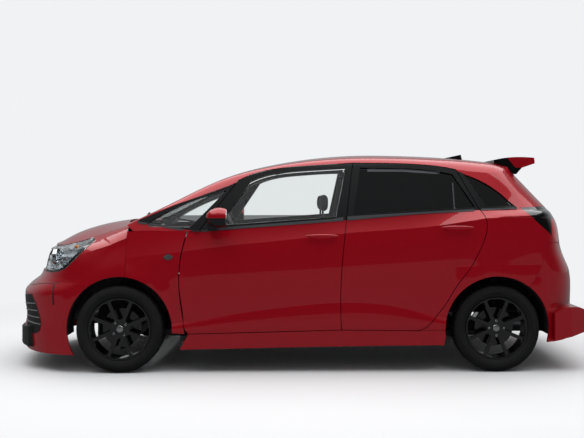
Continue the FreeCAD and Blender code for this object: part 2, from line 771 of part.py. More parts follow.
nose_clear = nose_slab(-10, size("bumper_thickness") + size("rest_gap"))
beam_front = front_axle - 640 - size("rest_gap")
brackets = []
for side in (-1, 1):
    beam = Part.makeBox(300, 60, 36, Vector(beam_front - 300, side * 250 - 30, bz(440))).cut(nose_clear)
    wing_y = min(side * (480 + size("rest_gap")), side * 900)
    wing = Part.makeBox(60, 900 - 480 - size("rest_gap"), 24, Vector(front_axle - 120, wing_y, bz(752))).cut(nose_clear)
    brackets += [min(beam.Solids, key=lambda solid: abs(solid.CenterOfMass.x)),
                 min(wing.Solids, key=lambda solid: abs(solid.CenterOfMass.y))]
add_piece("front_brackets", Part.makeCompound(brackets))

LIP = [[(-1800, -636)], [(-1800, 636)],
       [(-1838, 640), (-1896, 555), (-1952, 415), (-2003, 210), (-2028, 0),
        (-2003, -210), (-1952, -415), (-1896, -555), (-1838, -640)]]
LIP_SIDE = [[(-2050, 240)], [(-2034, 165)], [(-1790, 148)], [(-1790, 302)]]
lip = plan_prism(LIP, 0, bz(120), bz(310)).common(whole_prism(LIP_SIDE)).cut(nose_slab(-size("glass_clearance"), 160))
add_piece("front_lip", largest(lip))

wings = nose_shell.common(whole_prism(WINGS, -size("panel_gap") / 2)).cut(lamp_hole).cut(front_arch)
wing_fronts = [solid for solid in wings.Solids if solid.Volume > 1e5]
wing_rear = largest(left_side_slab(0, size("wing_thickness")).common(left_prism(WING_REAR)).cut(front_arch))
add_piece("front_wings", Part.makeCompound(wing_fronts + [wing_rear, mirrored(wing_rear)]))

lamps = nose_slab(0, size("lamp_depth")).common(whole_prism(LAMP)).cut(end_prism(GRILLE, size("panel_gap"), -2300, -1500))
add_piece("headlamps", Part.makeCompound([solid for solid in lamps.Solids if solid.Volume > 1e5]))

mesh = nose_slab(size("grille_inset"), size("grille_inset") + size("grille_thickness"))
grilles = [largest(mesh.common(end_prism(outline, -size("rest_gap"), -2300, -1500))) for outline in (GRILLE, INTAKE)]
add_piece("front_grille", Part.makeCompound(grilles))

# Bonnet, windscreen and roof: skins over the centre line


bonnet_rear = line_of((-1, -1128), (-0.6, -1195), (0, -1228), (0.6, -1195), (1, -1128))
bonnet = top_slab(bonnet_rear, lambda part: hood_front(part) + size("shut_gap"),
                  inside_of(hood_edge, size("shut_gap")), bonnet_top, size("bonnet_thickness"), 12, 15)
add_piece("bonnet", bonnet)

screen_foot = line_of((-1, -1095), (-0.6, -1150), (0, -1175), (0.6, -1150), (1, -1095))
screen_head = line_of((-1, -175), (-0.6, -215), (0, -230), (0.6, -215), (1, -175))
windscreen = top_slab(screen_head, screen_foot, inside_of(roof_edge, size("panel_gap") + size("glass_clearance")),
                      roof_top, size("screen_thickness"), 12, 13)
add_piece("windscreen", windscreen)

roof_front = lambda part: screen_head(part) + size("panel_gap")
roof_rear = level(HINGE_LINE - size("shut_gap"))
add_piece("roof", top_slab(roof_rear, roof_front, inside_of(roof_edge, size("panel_gap")), roof_top,
                           size("roof_thickness"), 14, 13))

FIN = [[(1131, 1440)], [(1131, 1476)], [(1256, 1503)], [(1272, 1440)]]
roof = pieces[-1].Shape.copy()
roof.translate(Vector(0, 0, size("rest_gap")))
add_piece("aerial_fin", largest(side_prism(FIN, 0, -9, 9).cut(roof)))

# Tail


TAIL_OPENING = [[(-590, 697)], [(-590, 1000)], [(590, 1000)], [(590, 697)]]
REAR_WINDOW_HOLE = [[(-455, 1345)], [(0, 1365), (455, 1345)], [(520, 1095)], [(0, 1085), (-520, 1095)]]
tailgate = slab(tailgate_zones(0, size("shut_gap")), tailgate_zones(size("tailgate_thickness"), size("shut_gap")))
tailgate = tailgate.cut(end_prism(REAR_WINDOW_HOLE, 0, 1300, 2100))
add_piece("tailgate", largest(tailgate))
back_glass = slab(tailgate_zones(3, size("shut_gap")), tailgate_zones(3 + size("glass_thickness"), size("shut_gap")))
back_glass = back_glass.common(end_prism(REAR_WINDOW_HOLE, -size("glass_clearance"), 1300, 2100))
add_piece("tailgate_window", largest(back_glass))

BUMPER_STATIONS = spread(1560, 1600, 3)


def rear_row(height, inset):
    """Points along one height line of the rear bumper."""
    points = [side_point(x, height, inset) for x in BUMPER_STATIONS]
    points += [tail_point(height, angle, inset) for angle in spread(0, math.pi / 2, 14)[1:]]
    return full_row(points)


def rear_zones(inset):
    zones = []
    for low, high, count in ((200, 420, 4), (420, 640, 4), (640, 866, 5)):
        zones.append([rear_row(height, inset) for height in spread(low, high, count)])
    return zones


REAR_BUMPER = [[(1350, 100)], [(1350, 560)], [(1560, 560)], [(1640, 695)], [(1712, 868)], [(2200, 868)], [(2200, 100)]]
rear_bumper = slab(rear_zones(0), rear_zones(size("bumper_thickness"))).cut(rear_arch)
rear_bumper = rear_bumper.common(whole_prism(REAR_BUMPER, -size("panel_gap")))
rear_bumper = rear_bumper.cut(end_prism(TAIL_OPENING, size("shut_gap"), 1300, 2200))
add_piece("rear_bumper", largest(rear_bumper))

DIFFUSER = [[(1735, 847)], [(1735, -847)], [(1850, -846)], [(1965, -780)],
            [(2034, -480), (2045, 0), (2034, 480), (1965, 780)], [(1850, 846)]]
DIFFUSER_SIDE = [[(1735, 212)], [(1738, 399), (1887, 436), (1965, 408)], [(2046, 372)], [(2046, 332)], [(1975, 268)]]
diffuser = plan_prism(DIFFUSER, 0, bz(205), bz(445)).common(whole_prism(DIFFUSER_SIDE))
diffuser = diffuser.cut(slab(rear_zones(-size("glass_clearance")), rear_zones(200)))
add_piece("rear_lip", largest(diffuser))

panel_x, latch_z = rear_axle + 490 + size("rest_gap"), bz(700) - size("rest_gap")
rear_panel = Part.makeBox(30, 1120, bz(640) - 370, Vector(panel_x, -560, 370))
rear_panel = rear_panel.fuse(Part.makeBox(90, 120, 30, Vector(panel_x, -60, bz(640) - 30)))
rear_panel = rear_panel.fuse(Part.makeBox(26, 120, latch_z - bz(640) + 20, Vector(panel_x + 64, -60, bz(640) - 20)))
for y_low in (-460, 400):
    rear_panel = rear_panel.fuse(Part.makeBox(300, 60, 40, Vector(panel_x, y_low, bz(560))))
rear_panel = rear_panel.cut(slab(rear_zones(-100), rear_zones(size("bumper_thickness") + size("rest_gap"))))
add_piece("rear_panel", largest(rear_panel))

lamp_shell = left_side_slab(0, size("tail_lamp_depth"))
tail_lamp = largest(lamp_shell.common(left_prism(TAIL_LAMP)).cut(
    end_prism([[(-tail_edge(1100), 700)], [(-tail_edge(1100), 1200)], [(0, 1200)], [(0, 700)]], 0, 1300, 2100)))
add_piece("tail_lamps", Part.makeCompound([tail_lamp, mirrored(tail_lamp)]))

# Side skirts, cowl, roof spoiler and mirrors

skirt_block = Part.makeBox(6000, 2 * (half_body - 62) + 2 * size("glass_clearance"), floor_top + 0.6,
                           Vector(-3000, -(half_body - 62) - size("glass_clearance"), 0))
skirt = left_side_slab(0, size("skirt_thickness")).common(left_prism(SKIRT)).cut(front_arch).cut(rear_arch).cut(skirt_block)
skirt = largest(skirt)
add_piece("side_skirts", Part.makeCompound([skirt, mirrored(skirt)]))


def cowl_top(x, y):
    return bonnet_top(x, y) - size("bonnet_thickness") - size("panel_gap") / 2


add_piece("cowl", top_slab(level(-1102), level(-1225), inside_of(hood_edge, 45), cowl_top, 15, 4, 11))

SPOILER = [[(1400, 1440)], [(1440, 1449), (1550, 1461), (1688, 1456)], [(1692, 1416)], [(1600, 1385)], [(1560, 1340)], [(1400, 1360)]]
spoiler = side_prism(SPOILER, 0, -by(500), by(500))
spoiler = spoiler.cut(slab(tailgate_zones(-size("glass_clearance"), size("shut_gap")),
                           tailgate_zones(100, size("shut_gap"))))
add_piece("roof_spoiler", largest(spoiler))

mirror_x, mirror_y, mirror_z = bx(-505), half_body + 58, bz(1040)
housing = Part.makeSphere(1)
stretch_matrix = FreeCAD.Matrix()
stretch_matrix.scale(88, 62, 66)
housing = housing.transformGeometry(stretch_matrix)
housing.translate(Vector(mirror_x, -mirror_y, mirror_z))
housing = housing.cut(Part.makeBox(200, 400, 400, Vector(mirror_x + 45, -mirror_y - 200, mirror_z - 200)))
stalk = Part.makeBox(62, mirror_y - half_body + 120, 24, Vector(mirror_x - 78, -mirror_y, bz(954)))
post = Part.makeBox(62, 60, 60, Vector(mirror_x - 78, -mirror_y, bz(954)))
door_clear = left_thick.copy()
door_clear.translate(Vector(0, -size("rest_gap"), 0))
mirror = largest(housing.fuse(stalk).fuse(post).cut(door_clear))
add_piece("mirror_left", mirror)
add_piece("mirror_right", mirrored(mirror))

# Pieces built from plain shapes, with their sizes bound to the sheet

FRONT_AXLE = "(Sizes.front_overhang - Sizes.wheelbase - Sizes.rear_overhang) / 2"
REAR_AXLE = "(Sizes.front_overhang + Sizes.wheelbase - Sizes.rear_overhang) / 2"
HUB = "Sizes.tyre_radius"


def bind(item, **expressions):
    for name, expression in expressions.items():
        item.setExpression(name.replace("_at_", "Placement.Base."), expression)
    return item


def box(name, x_low, x_high, y_low, y_high, z_low, z_high):
    """Block between bound stations."""
    item = doc.addObject("Part::Box", name)
    return bind(item, Length="(%s) - (%s)" % (x_high, x_low), Width="(%s) - (%s)" % (y_high, y_low),
                Height="(%s) - (%s)" % (z_high, z_low), _at_x=x_low, _at_y=y_low, _at_z=z_low)


def rod(name, radius, length, x, y, z, along):
    """Cylinder from a bound point along an axis."""
    item = doc.addObject("Part::Cylinder", name)
    turns = {"x": (Vector(0, 1, 0), 90), "y": (Vector(1, 0, 0), -90), "z": (Vector(0, 0, 1), 0)}
    item.Placement = FreeCAD.Placement(Vector(0, 0, 0), FreeCAD.Rotation(*turns[along]))
    return bind(item, Radius=radius, Height=length, _at_x=x, _at_y=y, _at_z=z)


def join(name, *items):
    """One sub-part from plain shapes that meet."""
    whole = doc.addObject("Part::MultiFuse", name)
    whole.Label = name
    whole.Shapes = list(items)
    pieces.append(whole)
    return whole


def remove(name, base, tool):
    result = doc.addObject("Part::Cut", name)
    result.Base = base
    result.Tool = tool
    return result


FLOOR_TOP = "Sizes.floor_height + Sizes.floor_thickness"
CABIN_FRONT = FRONT_AXLE + " + 185"
CABIN_REAR = REAR_AXLE + " - 350"
TOE_BOARD = FRONT_AXLE + " + 400"
JACK_POINTS = [(x, y) for x in (FRONT_AXLE + " + 480", REAR_AXLE + " - 450") for y in ("-700", "700")]
floor_pan = join(
    "floor_pan",
    box("toe_plate", CABIN_FRONT, TOE_BOARD, "-480", "480", "Sizes.floor_height", FLOOR_TOP),
    box("floor_plate", TOE_BOARD, CABIN_REAR, "-Sizes.body_width / 2 + 62", "Sizes.body_width / 2 - 62",
        "Sizes.floor_height", FLOOR_TOP),
    box("firewall", CABIN_FRONT, CABIN_FRONT + " + 30", "-480", "480", FLOOR_TOP, "660"),
    box("bulkhead", CABIN_FRONT, CABIN_FRONT + " + 30", "-700", "700", "650", "920"),
    box("tunnel", CABIN_FRONT + " + 30", CABIN_REAR, "-110", "110", FLOOR_TOP, FLOOR_TOP + " + 70"),
    box("heel_board", CABIN_REAR, CABIN_REAR + " + 30", "-560", "560", "Sizes.floor_height", "400"),
    box("load_floor", CABIN_REAR + " + 30", REAR_AXLE + " + 490", "-560", "560", "370", "400"),
    *[box("jack_pad_%d" % number, x + " - 40", x + " + 40", y + " - 35", y + " + 35", "Sizes.floor_height - 15",
          "Sizes.floor_height") for number, (x, y) in enumerate(JACK_POINTS)])

front_frame = join(
    "front_frame",
    box("rail_left", FRONT_AXLE + " - 560", CABIN_FRONT, "-470", "-410", "400", "480"),
    box("rail_right", FRONT_AXLE + " - 560", CABIN_FRONT, "410", "470", "400", "480"),
    box("radiator_panel", FRONT_AXLE + " - 560", FRONT_AXLE + " - 530", "-400", "400", "230", "590"),
    box("crash_beam", FRONT_AXLE + " - 640", FRONT_AXLE + " - 560", "-470", "470", "400", "500"),
    box("apron_left", FRONT_AXLE + " - 350", CABIN_FRONT, "-480", "-470", "400", "800"),
    box("apron_right", FRONT_AXLE + " - 350", CABIN_FRONT, "470", "480", "400", "800"),
    box("tower_left", FRONT_AXLE + " - 80", FRONT_AXLE + " + 80", "-670", "-480", "785", "800"),
    box("tower_right", FRONT_AXLE + " - 80", FRONT_AXLE + " + 80", "480", "670", "785", "800"))

join(
    "engine_block",
    box("engine", FRONT_AXLE + " - 340", FRONT_AXLE + " + 60", "-300", "300", "300", "760"),
    box("engine_mounts", FRONT_AXLE + " - 200", FRONT_AXLE + " - 120", "-410 + Sizes.rest_gap", "410 - Sizes.rest_gap",
        "420", "470"))

WHEEL_X = FRONT_AXLE + " + 700"
COLUMN_START = "(60 + Sizes.rest_gap)"
steering_axis = FreeCAD.Rotation(Vector(0, 1, 0), size("steering_tilt") + 180)
column = doc.addObject("Part::Cylinder", "steering_column")
column.Placement = FreeCAD.Placement(Vector(0, 0, 0), steering_axis)
bind(column, Radius="22", Height="200", _at_x=WHEEL_X + " - sin(Sizes.steering_tilt * 1 deg) * " + COLUMN_START, _at_y="360",
     _at_z="900 - cos(Sizes.steering_tilt * 1 deg) * " + COLUMN_START)

dashboard = join(
    "dashboard",
    box("dash_board", CABIN_FRONT + " + 30", CABIN_FRONT + " + 380", "-690", "690", "640", "900"),
    box("console", CABIN_FRONT + " + 30", CABIN_FRONT + " + 760", "-90", "90", FLOOR_TOP + " + 70", "640"),
    column)


def front_seat(side, y):
    """Cushion, backrest and head restraint of one front seat on its runners."""
    low, high = "%s - 250" % y, "%s + 250" % y
    seat_x = FRONT_AXLE
    return [
        box("runner_" + side, seat_x + " + 800", seat_x + " + 1250", "%s - 200" % y, "%s + 200" % y, FLOOR_TOP, "320"),
        box("cushion_" + side, seat_x + " + 780", seat_x + " + 1300", low, high, "320", "500"),
        box("back_" + side, seat_x + " + 1300", seat_x + " + 1430", low, high, "400", "1050"),
        box("head_rest_" + side, seat_x + " + 1330", seat_x + " + 1430", "%s - 120" % y, "%s + 120" % y, "1050", "1220")]


front_seats = join("front_seats", *(front_seat("left", "-370") + front_seat("right", "370")))
rear_seat = join(
    "rear_seat",
    box("bench", REAR_AXLE + " - 700", REAR_AXLE + " - 190", "-560", "560", "400.3", "540"),
    box("bench_base", REAR_AXLE + " - 650", REAR_AXLE + " - 350.3", "-500", "500", FLOOR_TOP + " + 70", "400.3"),
    box("bench_back", REAR_AXLE + " - 190", REAR_AXLE + " - 60", "-560", "560", "400.3", "1010"))

rear_axle_beam = join(
    "rear_axle",
    rod("beam", "40", "Sizes.track_rear - 260", REAR_AXLE + " - 250", "-(Sizes.track_rear - 260) / 2", "280", "y"),
    box("arm_left", REAR_AXLE + " - 250", REAR_AXLE + " + 40", "-Sizes.track_rear / 2 + 130", "-Sizes.track_rear / 2 + 170",
        "250", "320"),
    box("arm_right", REAR_AXLE + " - 250", REAR_AXLE + " + 40", "Sizes.track_rear / 2 - 170", "Sizes.track_rear / 2 - 130",
        "250", "320"),
    box("pivot_left", CABIN_REAR + " + Sizes.rest_gap", REAR_AXLE + " - 230", "-Sizes.track_rear / 2 + 130",
        "-Sizes.track_rear / 2 + 170", "215", "250"),
    box("pivot_right", CABIN_REAR + " + Sizes.rest_gap", REAR_AXLE + " - 230", "Sizes.track_rear / 2 - 170",
        "Sizes.track_rear / 2 - 130", "215", "250"),
    rod("stub_left", "24", "100", REAR_AXLE, "-Sizes.track_rear / 2 + 42.3", HUB, "y"),
    rod("stub_right", "24", "100", REAR_AXLE, "Sizes.track_rear / 2 - 142.3", HUB, "y"),
    rod("damper_left", "22", "310", REAR_AXLE + " + 20", "-Sizes.track_rear / 2 + 122", "300", "z"),
    rod("damper_right", "22", "310", REAR_AXLE + " + 20", "Sizes.track_rear / 2 - 122", "300", "z"))

exhaust = join(
    "exhaust",
    rod("pipe", "24", "Sizes.wheelbase - 60", FRONT_AXLE + " + 200", "-150", "170", "x"),
    rod("silencer", "75", "420", REAR_AXLE + " + 130", "-150", "250", "x"),
    box("hanger_front", FRONT_AXLE + " + 600", FRONT_AXLE + " + 620", "-160", "-140", "185",
        "Sizes.floor_height - Sizes.rest_gap"),
    box("hanger_middle", REAR_AXLE + " - 600", REAR_AXLE + " - 580", "-160", "-140", "185",
        "Sizes.floor_height - Sizes.rest_gap"),
    box("hanger_rear", REAR_AXLE + " + 330", REAR_AXLE + " + 350", "-160", "-140", "310", "370 - Sizes.rest_gap"))

KINGPIN_LEFT = "-Sizes.track_front / 2 + Sizes.kingpin_offset"
KINGPIN_RIGHT = "Sizes.track_front / 2 - Sizes.kingpin_offset"


def on_side(side, low, high):
    """Bounds across the car on one side, given as distances outboard of the kingpin."""
    if side == "left":
        return "%s - (%s)" % (KINGPIN_LEFT, high), "%s - (%s)" % (KINGPIN_LEFT, low)
    return "%s + %s" % (KINGPIN_RIGHT, low), "%s + %s" % (KINGPIN_RIGHT, high)


suspension_items = [box("cross_member", FRONT_AXLE + " - 60", FRONT_AXLE + " + 60", "-490", "490", "190", "250")]
for side in ("left", "right"):
    arm = on_side(side, -200, -9)
    fork = on_side(side, -115, -9)
    strut_y = on_side(side, -98, -98)[0]
    suspension_items += [
        box("lower_arm_" + side, FRONT_AXLE + " - 20", FRONT_AXLE + " + 20", arm[0], arm[1], "140", "164.7"),
        box("arm_root_" + side, FRONT_AXLE + " - 20", FRONT_AXLE + " + 20", *on_side(side, -203, -183), "140", "200"),
        box("fork_" + side, FRONT_AXLE + " - 12", FRONT_AXLE + " + 12", fork[0], fork[1], "420.3", "440"),
        rod("strut_" + side, "28", "364.4", FRONT_AXLE, strut_y, "420.3", "z")]
front_suspension = join("front_suspension", *suspension_items)

for side in ("left", "right"):
    upright = on_side(side, -30, 4)
    carrier = on_side(side, -30, 9.7)
    caliper = on_side(side, 0, 50)
    bridge = on_side(side, -30, 6)
    join("knuckle_" + side,
         box("upright_" + side, FRONT_AXLE + " - 18", FRONT_AXLE + " + 18", upright[0], upright[1], "165", "420"),
         rod("carrier_" + side, "36", "39.7", FRONT_AXLE, carrier[0], HUB, "y"),
         box("bridge_" + side, FRONT_AXLE + " - 160", FRONT_AXLE, bridge[0], bridge[1], HUB + " - 25", HUB + " + 25"),
         box("caliper_in_" + side, FRONT_AXLE + " - 160", FRONT_AXLE + " - 95", bridge[0], bridge[1], HUB + " - 70", HUB + " + 70"),
         box("caliper_over_" + side, FRONT_AXLE + " - 160", FRONT_AXLE + " - 145", on_side(side, 0, 50)[0], caliper[1], HUB + " - 60", HUB + " + 60"))

rim_ring = doc.addObject("Part::Torus", "steering_rim")
rim_ring.Placement = FreeCAD.Placement(Vector(0, 0, 0), FreeCAD.Rotation(Vector(0, 1, 0), size("steering_tilt")))
bind(rim_ring, Radius1="Sizes.steering_wheel_radius", Radius2="14", _at_x=WHEEL_X, _at_y="360", _at_z="900")
boss = doc.addObject("Part::Cylinder", "steering_boss")
boss.Placement = FreeCAD.Placement(Vector(0, 0, 0), steering_axis)
bind(boss, Radius="55", Height="60", _at_x=WHEEL_X, _at_y="360", _at_z="900")
spoke = box("steering_spoke", WHEEL_X + " - 8", WHEEL_X + " + 8", "360 - Sizes.steering_wheel_radius", "360 + Sizes.steering_wheel_radius", "885", "915")
join("steering_wheel", rim_ring, boss, spoke)

def liner(name, x, y_low, y_high):
    """Wheel housing: a shell over the upper part of the wheel, closed on the inside."""
    reach = "Sizes.arch_radius - Sizes.rest_gap"
    outer = rod(name + "_outer", reach, "%s - (%s)" % (y_high, y_low), x, y_low, HUB, "y")
    inner = rod(name + "_inner", reach + " - Sizes.liner_thickness", "%s - (%s) + 10" % (y_high, y_low), x,
                "%s - 5" % y_low, HUB, "y")
    ground = box(name + "_ground", x + " - 400", x + " + 400", "%s - 5" % y_low, "%s + 5" % y_high, "-100", "Sizes.tyre_radius - 40")
    return remove(name, remove(name + "_ring", outer, inner), ground)


liners = join(
    "wheel_housings",
    liner("housing_front_left", FRONT_AXLE, "-Sizes.body_width / 2 + 50", "-640"),
    liner("housing_front_right", FRONT_AXLE, "640", "Sizes.body_width / 2 - 50"),
    liner("housing_rear_left", REAR_AXLE, "-Sizes.body_width / 2 + 50", "-560.3"),
    liner("housing_rear_right", REAR_AXLE, "560.3", "Sizes.body_width / 2 - 50"))

# Wheels


def plane_of(body, role):
    return next(feature for feature in body.Origin.OriginFeatures if feature.Role == role)


def profile(body, role, name, corners):
    """Closed sketch of straight edges whose corners are bound to expressions."""
    sketch = body.newObject("Sketcher::SketchObject", name)
    sketch.AttachmentSupport = [(plane_of(body, role), "")]
    sketch.MapMode = "FlatFace"
    count = len(corners)
    ring = [Vector(math.cos(2 * math.pi * step / count), math.sin(2 * math.pi * step / count), 0) * 50
            for step in range(count)]
    sketch.addGeometry([Part.LineSegment(ring[step], ring[(step + 1) % count]) for step in range(count)])
    sketch.addConstraint([Sketcher.Constraint("Coincident", step, 2, (step + 1) % count, 1) for step in range(count)])
    for step, (across, up) in enumerate(corners):
        for kind, label, expression in (("DistanceX", "across", across), ("DistanceY", "up", up)):
            number = sketch.addConstraint(Sketcher.Constraint(kind, -1, 1, step, 1, 1.0))
            sketch.renameConstraint(number, "%s_%d" % (label, step))
            sketch.setExpression("Constraints.%s_%d" % (label, step), expression)
    return sketch


def turned(name, corners):
    """Body turned about its own Y axis from a profile of (radius, axial) corners."""
    body = doc.addObject("PartDesign::Body", name)
    body.Label = name
    sketch = profile(body, "XY_Plane", name + "_profile", corners)
    turn = body.newObject("PartDesign::Revolution", name + "_turn")
    turn.Profile = sketch
    turn.ReferenceAxis = (sketch, ["V_Axis"])
    turn.Angle = 360
    body.Tip = turn
    return body


def placed(body, x, y, z):
    bind(body, _at_x=x, _at_y=y, _at_z=z)
    pieces.append(body)
    return body


R = "Sizes.rim_radius"
BARREL = R + " - Sizes.barrel_thickness"
BEAD = R + " + Sizes.rest_gap"
W = "Sizes.rim_width / 2"
T = "Sizes.tyre_radius"
TW = "Sizes.tyre_width / 2"
WHEELS = (("front_left", FRONT_AXLE, "-Sizes.track_front / 2", -1), ("front_right", FRONT_AXLE, "Sizes.track_front / 2", 1),
          ("rear_left", REAR_AXLE, "-Sizes.track_rear / 2", -1), ("rear_right", REAR_AXLE, "Sizes.track_rear / 2", 1))
FACE = "Sizes.wheel_face"
HALF_PITCH = "180 deg / Sizes.spoke_count"


def cut_spokes(body, place):
    """Windows between the spokes: one pocket through the face, repeated round the axle."""
    doc.recompute()
    corners = []
    for across, inset in (("-1", 143), ("1", 143), ("1", 26), ("0.55", 12), ("-0.55", 12), ("-1", 26)):
        up = "(%s - %d)" % (R, inset)
        width = "(%s * tan(%s) - Sizes.spoke_width / 2 / cos(%s))" % (up, HALF_PITCH, HALF_PITCH)
        corners.append(("%s * %s" % (across, width), up))
    sketch = profile(body, "XZ_Plane", "window_" + place, corners)
    pocket = body.newObject("PartDesign::Pocket", "spoke_window_" + place)
    pocket.Profile = sketch
    pocket.setExpression("Length", FACE + " + 30")
    pattern = body.newObject("PartDesign::PolarPattern", "spokes_" + place)
    pattern.Originals = [pocket]
    pattern.Axis = (plane_of(body, "Y_Axis"), [""])
    pattern.Angle = 360
    pattern.setExpression("Occurrences", "Sizes.spoke_count")
    body.Tip = pattern


for place, x, y, outward in WHEELS:
    tyre = turned("tyre_" + place, [
        (BEAD, "-(%s) + 12" % W), (BEAD + " + 12", "-(%s) + 2" % W),
        (T + " - 45", "-(%s)" % TW), (T + " - 20", "-(%s) + 4" % TW), (T + " - 4", "-(%s) + 20" % TW),
        (T, "-(%s) + 40" % TW), (T, "%s - 40" % TW), (T + " - 4", "%s - 20" % TW),
        (T + " - 20", "%s - 4" % TW), (T + " - 45", TW), (BEAD + " + 12", "%s - 2" % W), (BEAD, "%s - 12" % W)])
    placed(tyre, x, y, HUB)
    rim = turned("rim_" + place, [
        ("0", "-42"), ("Sizes.disc_radius", "-42"), ("Sizes.disc_radius", "-42 + Sizes.disc_thickness"),
        ("70", "-42 + Sizes.disc_thickness"), ("70", FACE + " - Sizes.spoke_depth - 6"),
        (BARREL, FACE + " - Sizes.spoke_depth"), (BARREL, "-(%s)" % W), (R, "-(%s)" % W),
        (R, W), (BARREL, W), (BARREL, FACE), ("70", FACE + " - 6"), ("0", FACE + " - 8")])
    cut_spokes(rim, place)
    rim.Placement = FreeCAD.Placement(Vector(0, 0, 0), FreeCAD.Rotation(Vector(0, 0, 1), 0 if outward > 0 else 180))
    placed(rim, x, y, HUB)

doc.recompute()
for item in doc.Objects:
    if "Invalid" in item.State or "Error" in item.State:
        raise ValueError("%s is %s" % (item.Name, item.State))
for piece in pieces:
    if piece.Shape.isNull() or not piece.Shape.isValid():
        raise ValueError("%s has no valid shape" % piece.Label)
for piece in pieces:
    piece.Shape.exportStep("parts/%s.step" % piece.Label)
print(len(pieces), "sub-parts written")
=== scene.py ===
# %% [markdown]
# A five-door hatchback in a white studio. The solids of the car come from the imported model, where they already
# have their real size and place. This lesson gives them their finishes, adds the small pieces that only matter to
# the eye, and sets up the camera and the light.

import math

import bmesh
import bpy
from mathutils import Matrix, Vector
from mathutils.bvhtree import BVHTree


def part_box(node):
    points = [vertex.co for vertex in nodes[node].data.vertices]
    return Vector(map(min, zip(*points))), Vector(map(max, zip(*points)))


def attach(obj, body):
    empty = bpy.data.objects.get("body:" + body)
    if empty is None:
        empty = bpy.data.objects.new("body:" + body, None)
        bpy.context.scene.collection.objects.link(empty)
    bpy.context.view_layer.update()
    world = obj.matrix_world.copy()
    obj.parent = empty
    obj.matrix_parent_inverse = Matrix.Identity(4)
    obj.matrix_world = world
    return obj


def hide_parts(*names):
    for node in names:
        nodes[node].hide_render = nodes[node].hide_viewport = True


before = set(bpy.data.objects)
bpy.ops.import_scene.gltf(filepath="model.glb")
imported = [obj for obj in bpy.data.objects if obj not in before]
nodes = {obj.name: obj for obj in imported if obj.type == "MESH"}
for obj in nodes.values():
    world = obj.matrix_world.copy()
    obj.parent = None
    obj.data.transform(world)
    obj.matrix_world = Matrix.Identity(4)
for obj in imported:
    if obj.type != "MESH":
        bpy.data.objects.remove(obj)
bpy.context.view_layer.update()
print("packed pieces:", len(nodes))

# %% [markdown]
# The picture was taken from the car's left, about six and a half metres away and a little above the belt line.
# The lens looks level, so the car's upright edges stay upright, and the frame is shifted instead of tilting it.

# %% Camera
camera_data = bpy.data.cameras.new("studio_camera")
camera_data.sensor_width = 36
camera_data.lens = 53.4
camera_data.shift_x = -0.0394
camera_data.shift_y = -0.0325
camera = bpy.data.objects.new("studio_camera", camera_data)
camera.location = (0.025, -6.62, 1.156)
camera.rotation_euler = (math.radians(90), 0, math.radians(-1.0))
bpy.context.scene.collection.objects.link(camera)
bpy.context.scene.camera = camera
bpy.context.scene.view_settings.view_transform = "Standard"
print("camera at", tuple(round(value, 3) for value in camera.location))

# %% [markdown]
# Colours are easiest to think about as the hex values that a screen shows. Shaders work in linear light, so one
# function turns a hex value into linear numbers. A second function adds any node with its settings and links, which
# keeps every material below to a few readable lines.


# %% Colour and node helpers
def linear(hex_value):
    """Linear RGBA of an sRGB hex colour."""
    channels = [int(hex_value[start:start + 2], 16) / 255 for start in (1, 3, 5)]
    return tuple(c / 12.92 if c <= 0.04045 else ((c + 0.055) / 1.055) ** 2.4 for c in channels) + (1,)


def add(tree, kind, settings=None, links=None):
    """One shader node. Settings are attributes or input values; links go from an output socket to an input."""
    made = tree.nodes.new(kind)
    for name, value in (settings or {}).items():
        if isinstance(name, str) and hasattr(made, name):
            setattr(made, name, value)
        else:
            made.inputs[name].default_value = value
    for name, socket in (links or {}).items():
        tree.links.new(socket, made.inputs[name])
    return made


def new_material(name, settings):
    """Material with one Principled shader, and its tree."""
    material = bpy.data.materials.new(name)
    material.use_nodes = True
    tree = material.node_tree
    tree.nodes.clear()
    shader = add(tree, "ShaderNodeBsdfPrincipled", settings)
    add(tree, "ShaderNodeOutputMaterial", {}, {"Surface": shader.outputs[0]})
    return material, tree, shader


def place_of(tree):
    """Object coordinates, and their three parts."""
    where = add(tree, "ShaderNodeTexCoord").outputs["Object"]
    parts = add(tree, "ShaderNodeSeparateXYZ", {}, {0: where})
    return where, parts.outputs[0], parts.outputs[1], parts.outputs[2]


def maths(tree, operation, first, second=0.0):
    """Sum, product or comparison of two sockets or numbers."""
    settings, links = {"operation": operation}, {}
    for slot, value in ((0, first), (1, second)):
        if isinstance(value, bpy.types.NodeSocket):
            links[slot] = value
        else:
            settings[slot] = value
    return add(tree, "ShaderNodeMath", settings, links).outputs[0]


def mixed(tree, share, first, second):
    """Colour between two sockets or hex colours, by a share."""
    made = add(tree, "ShaderNodeMix", {"data_type": "RGBA"})
    for slot, value in ((6, first), (7, second)):
        if isinstance(value, str):
            made.inputs[slot].default_value = linear(value)
        else:
            tree.links.new(value, made.inputs[slot])
    tree.links.new(share, made.inputs[0])
    return made.outputs[2]


print("helpers ready")

# %% [markdown]
# The studio is a white floor that runs out of sight, with a white room round it, so no horizon shows. Close to the
# car the floor is matt paint that takes the shadow, and from about two metres out it fades into the even white of the
# walls. The car's glossy flank would mirror this pale floor from end to end. In the picture it stays a deep red, so
# glossy rays see the floor four fifths darker than it is.

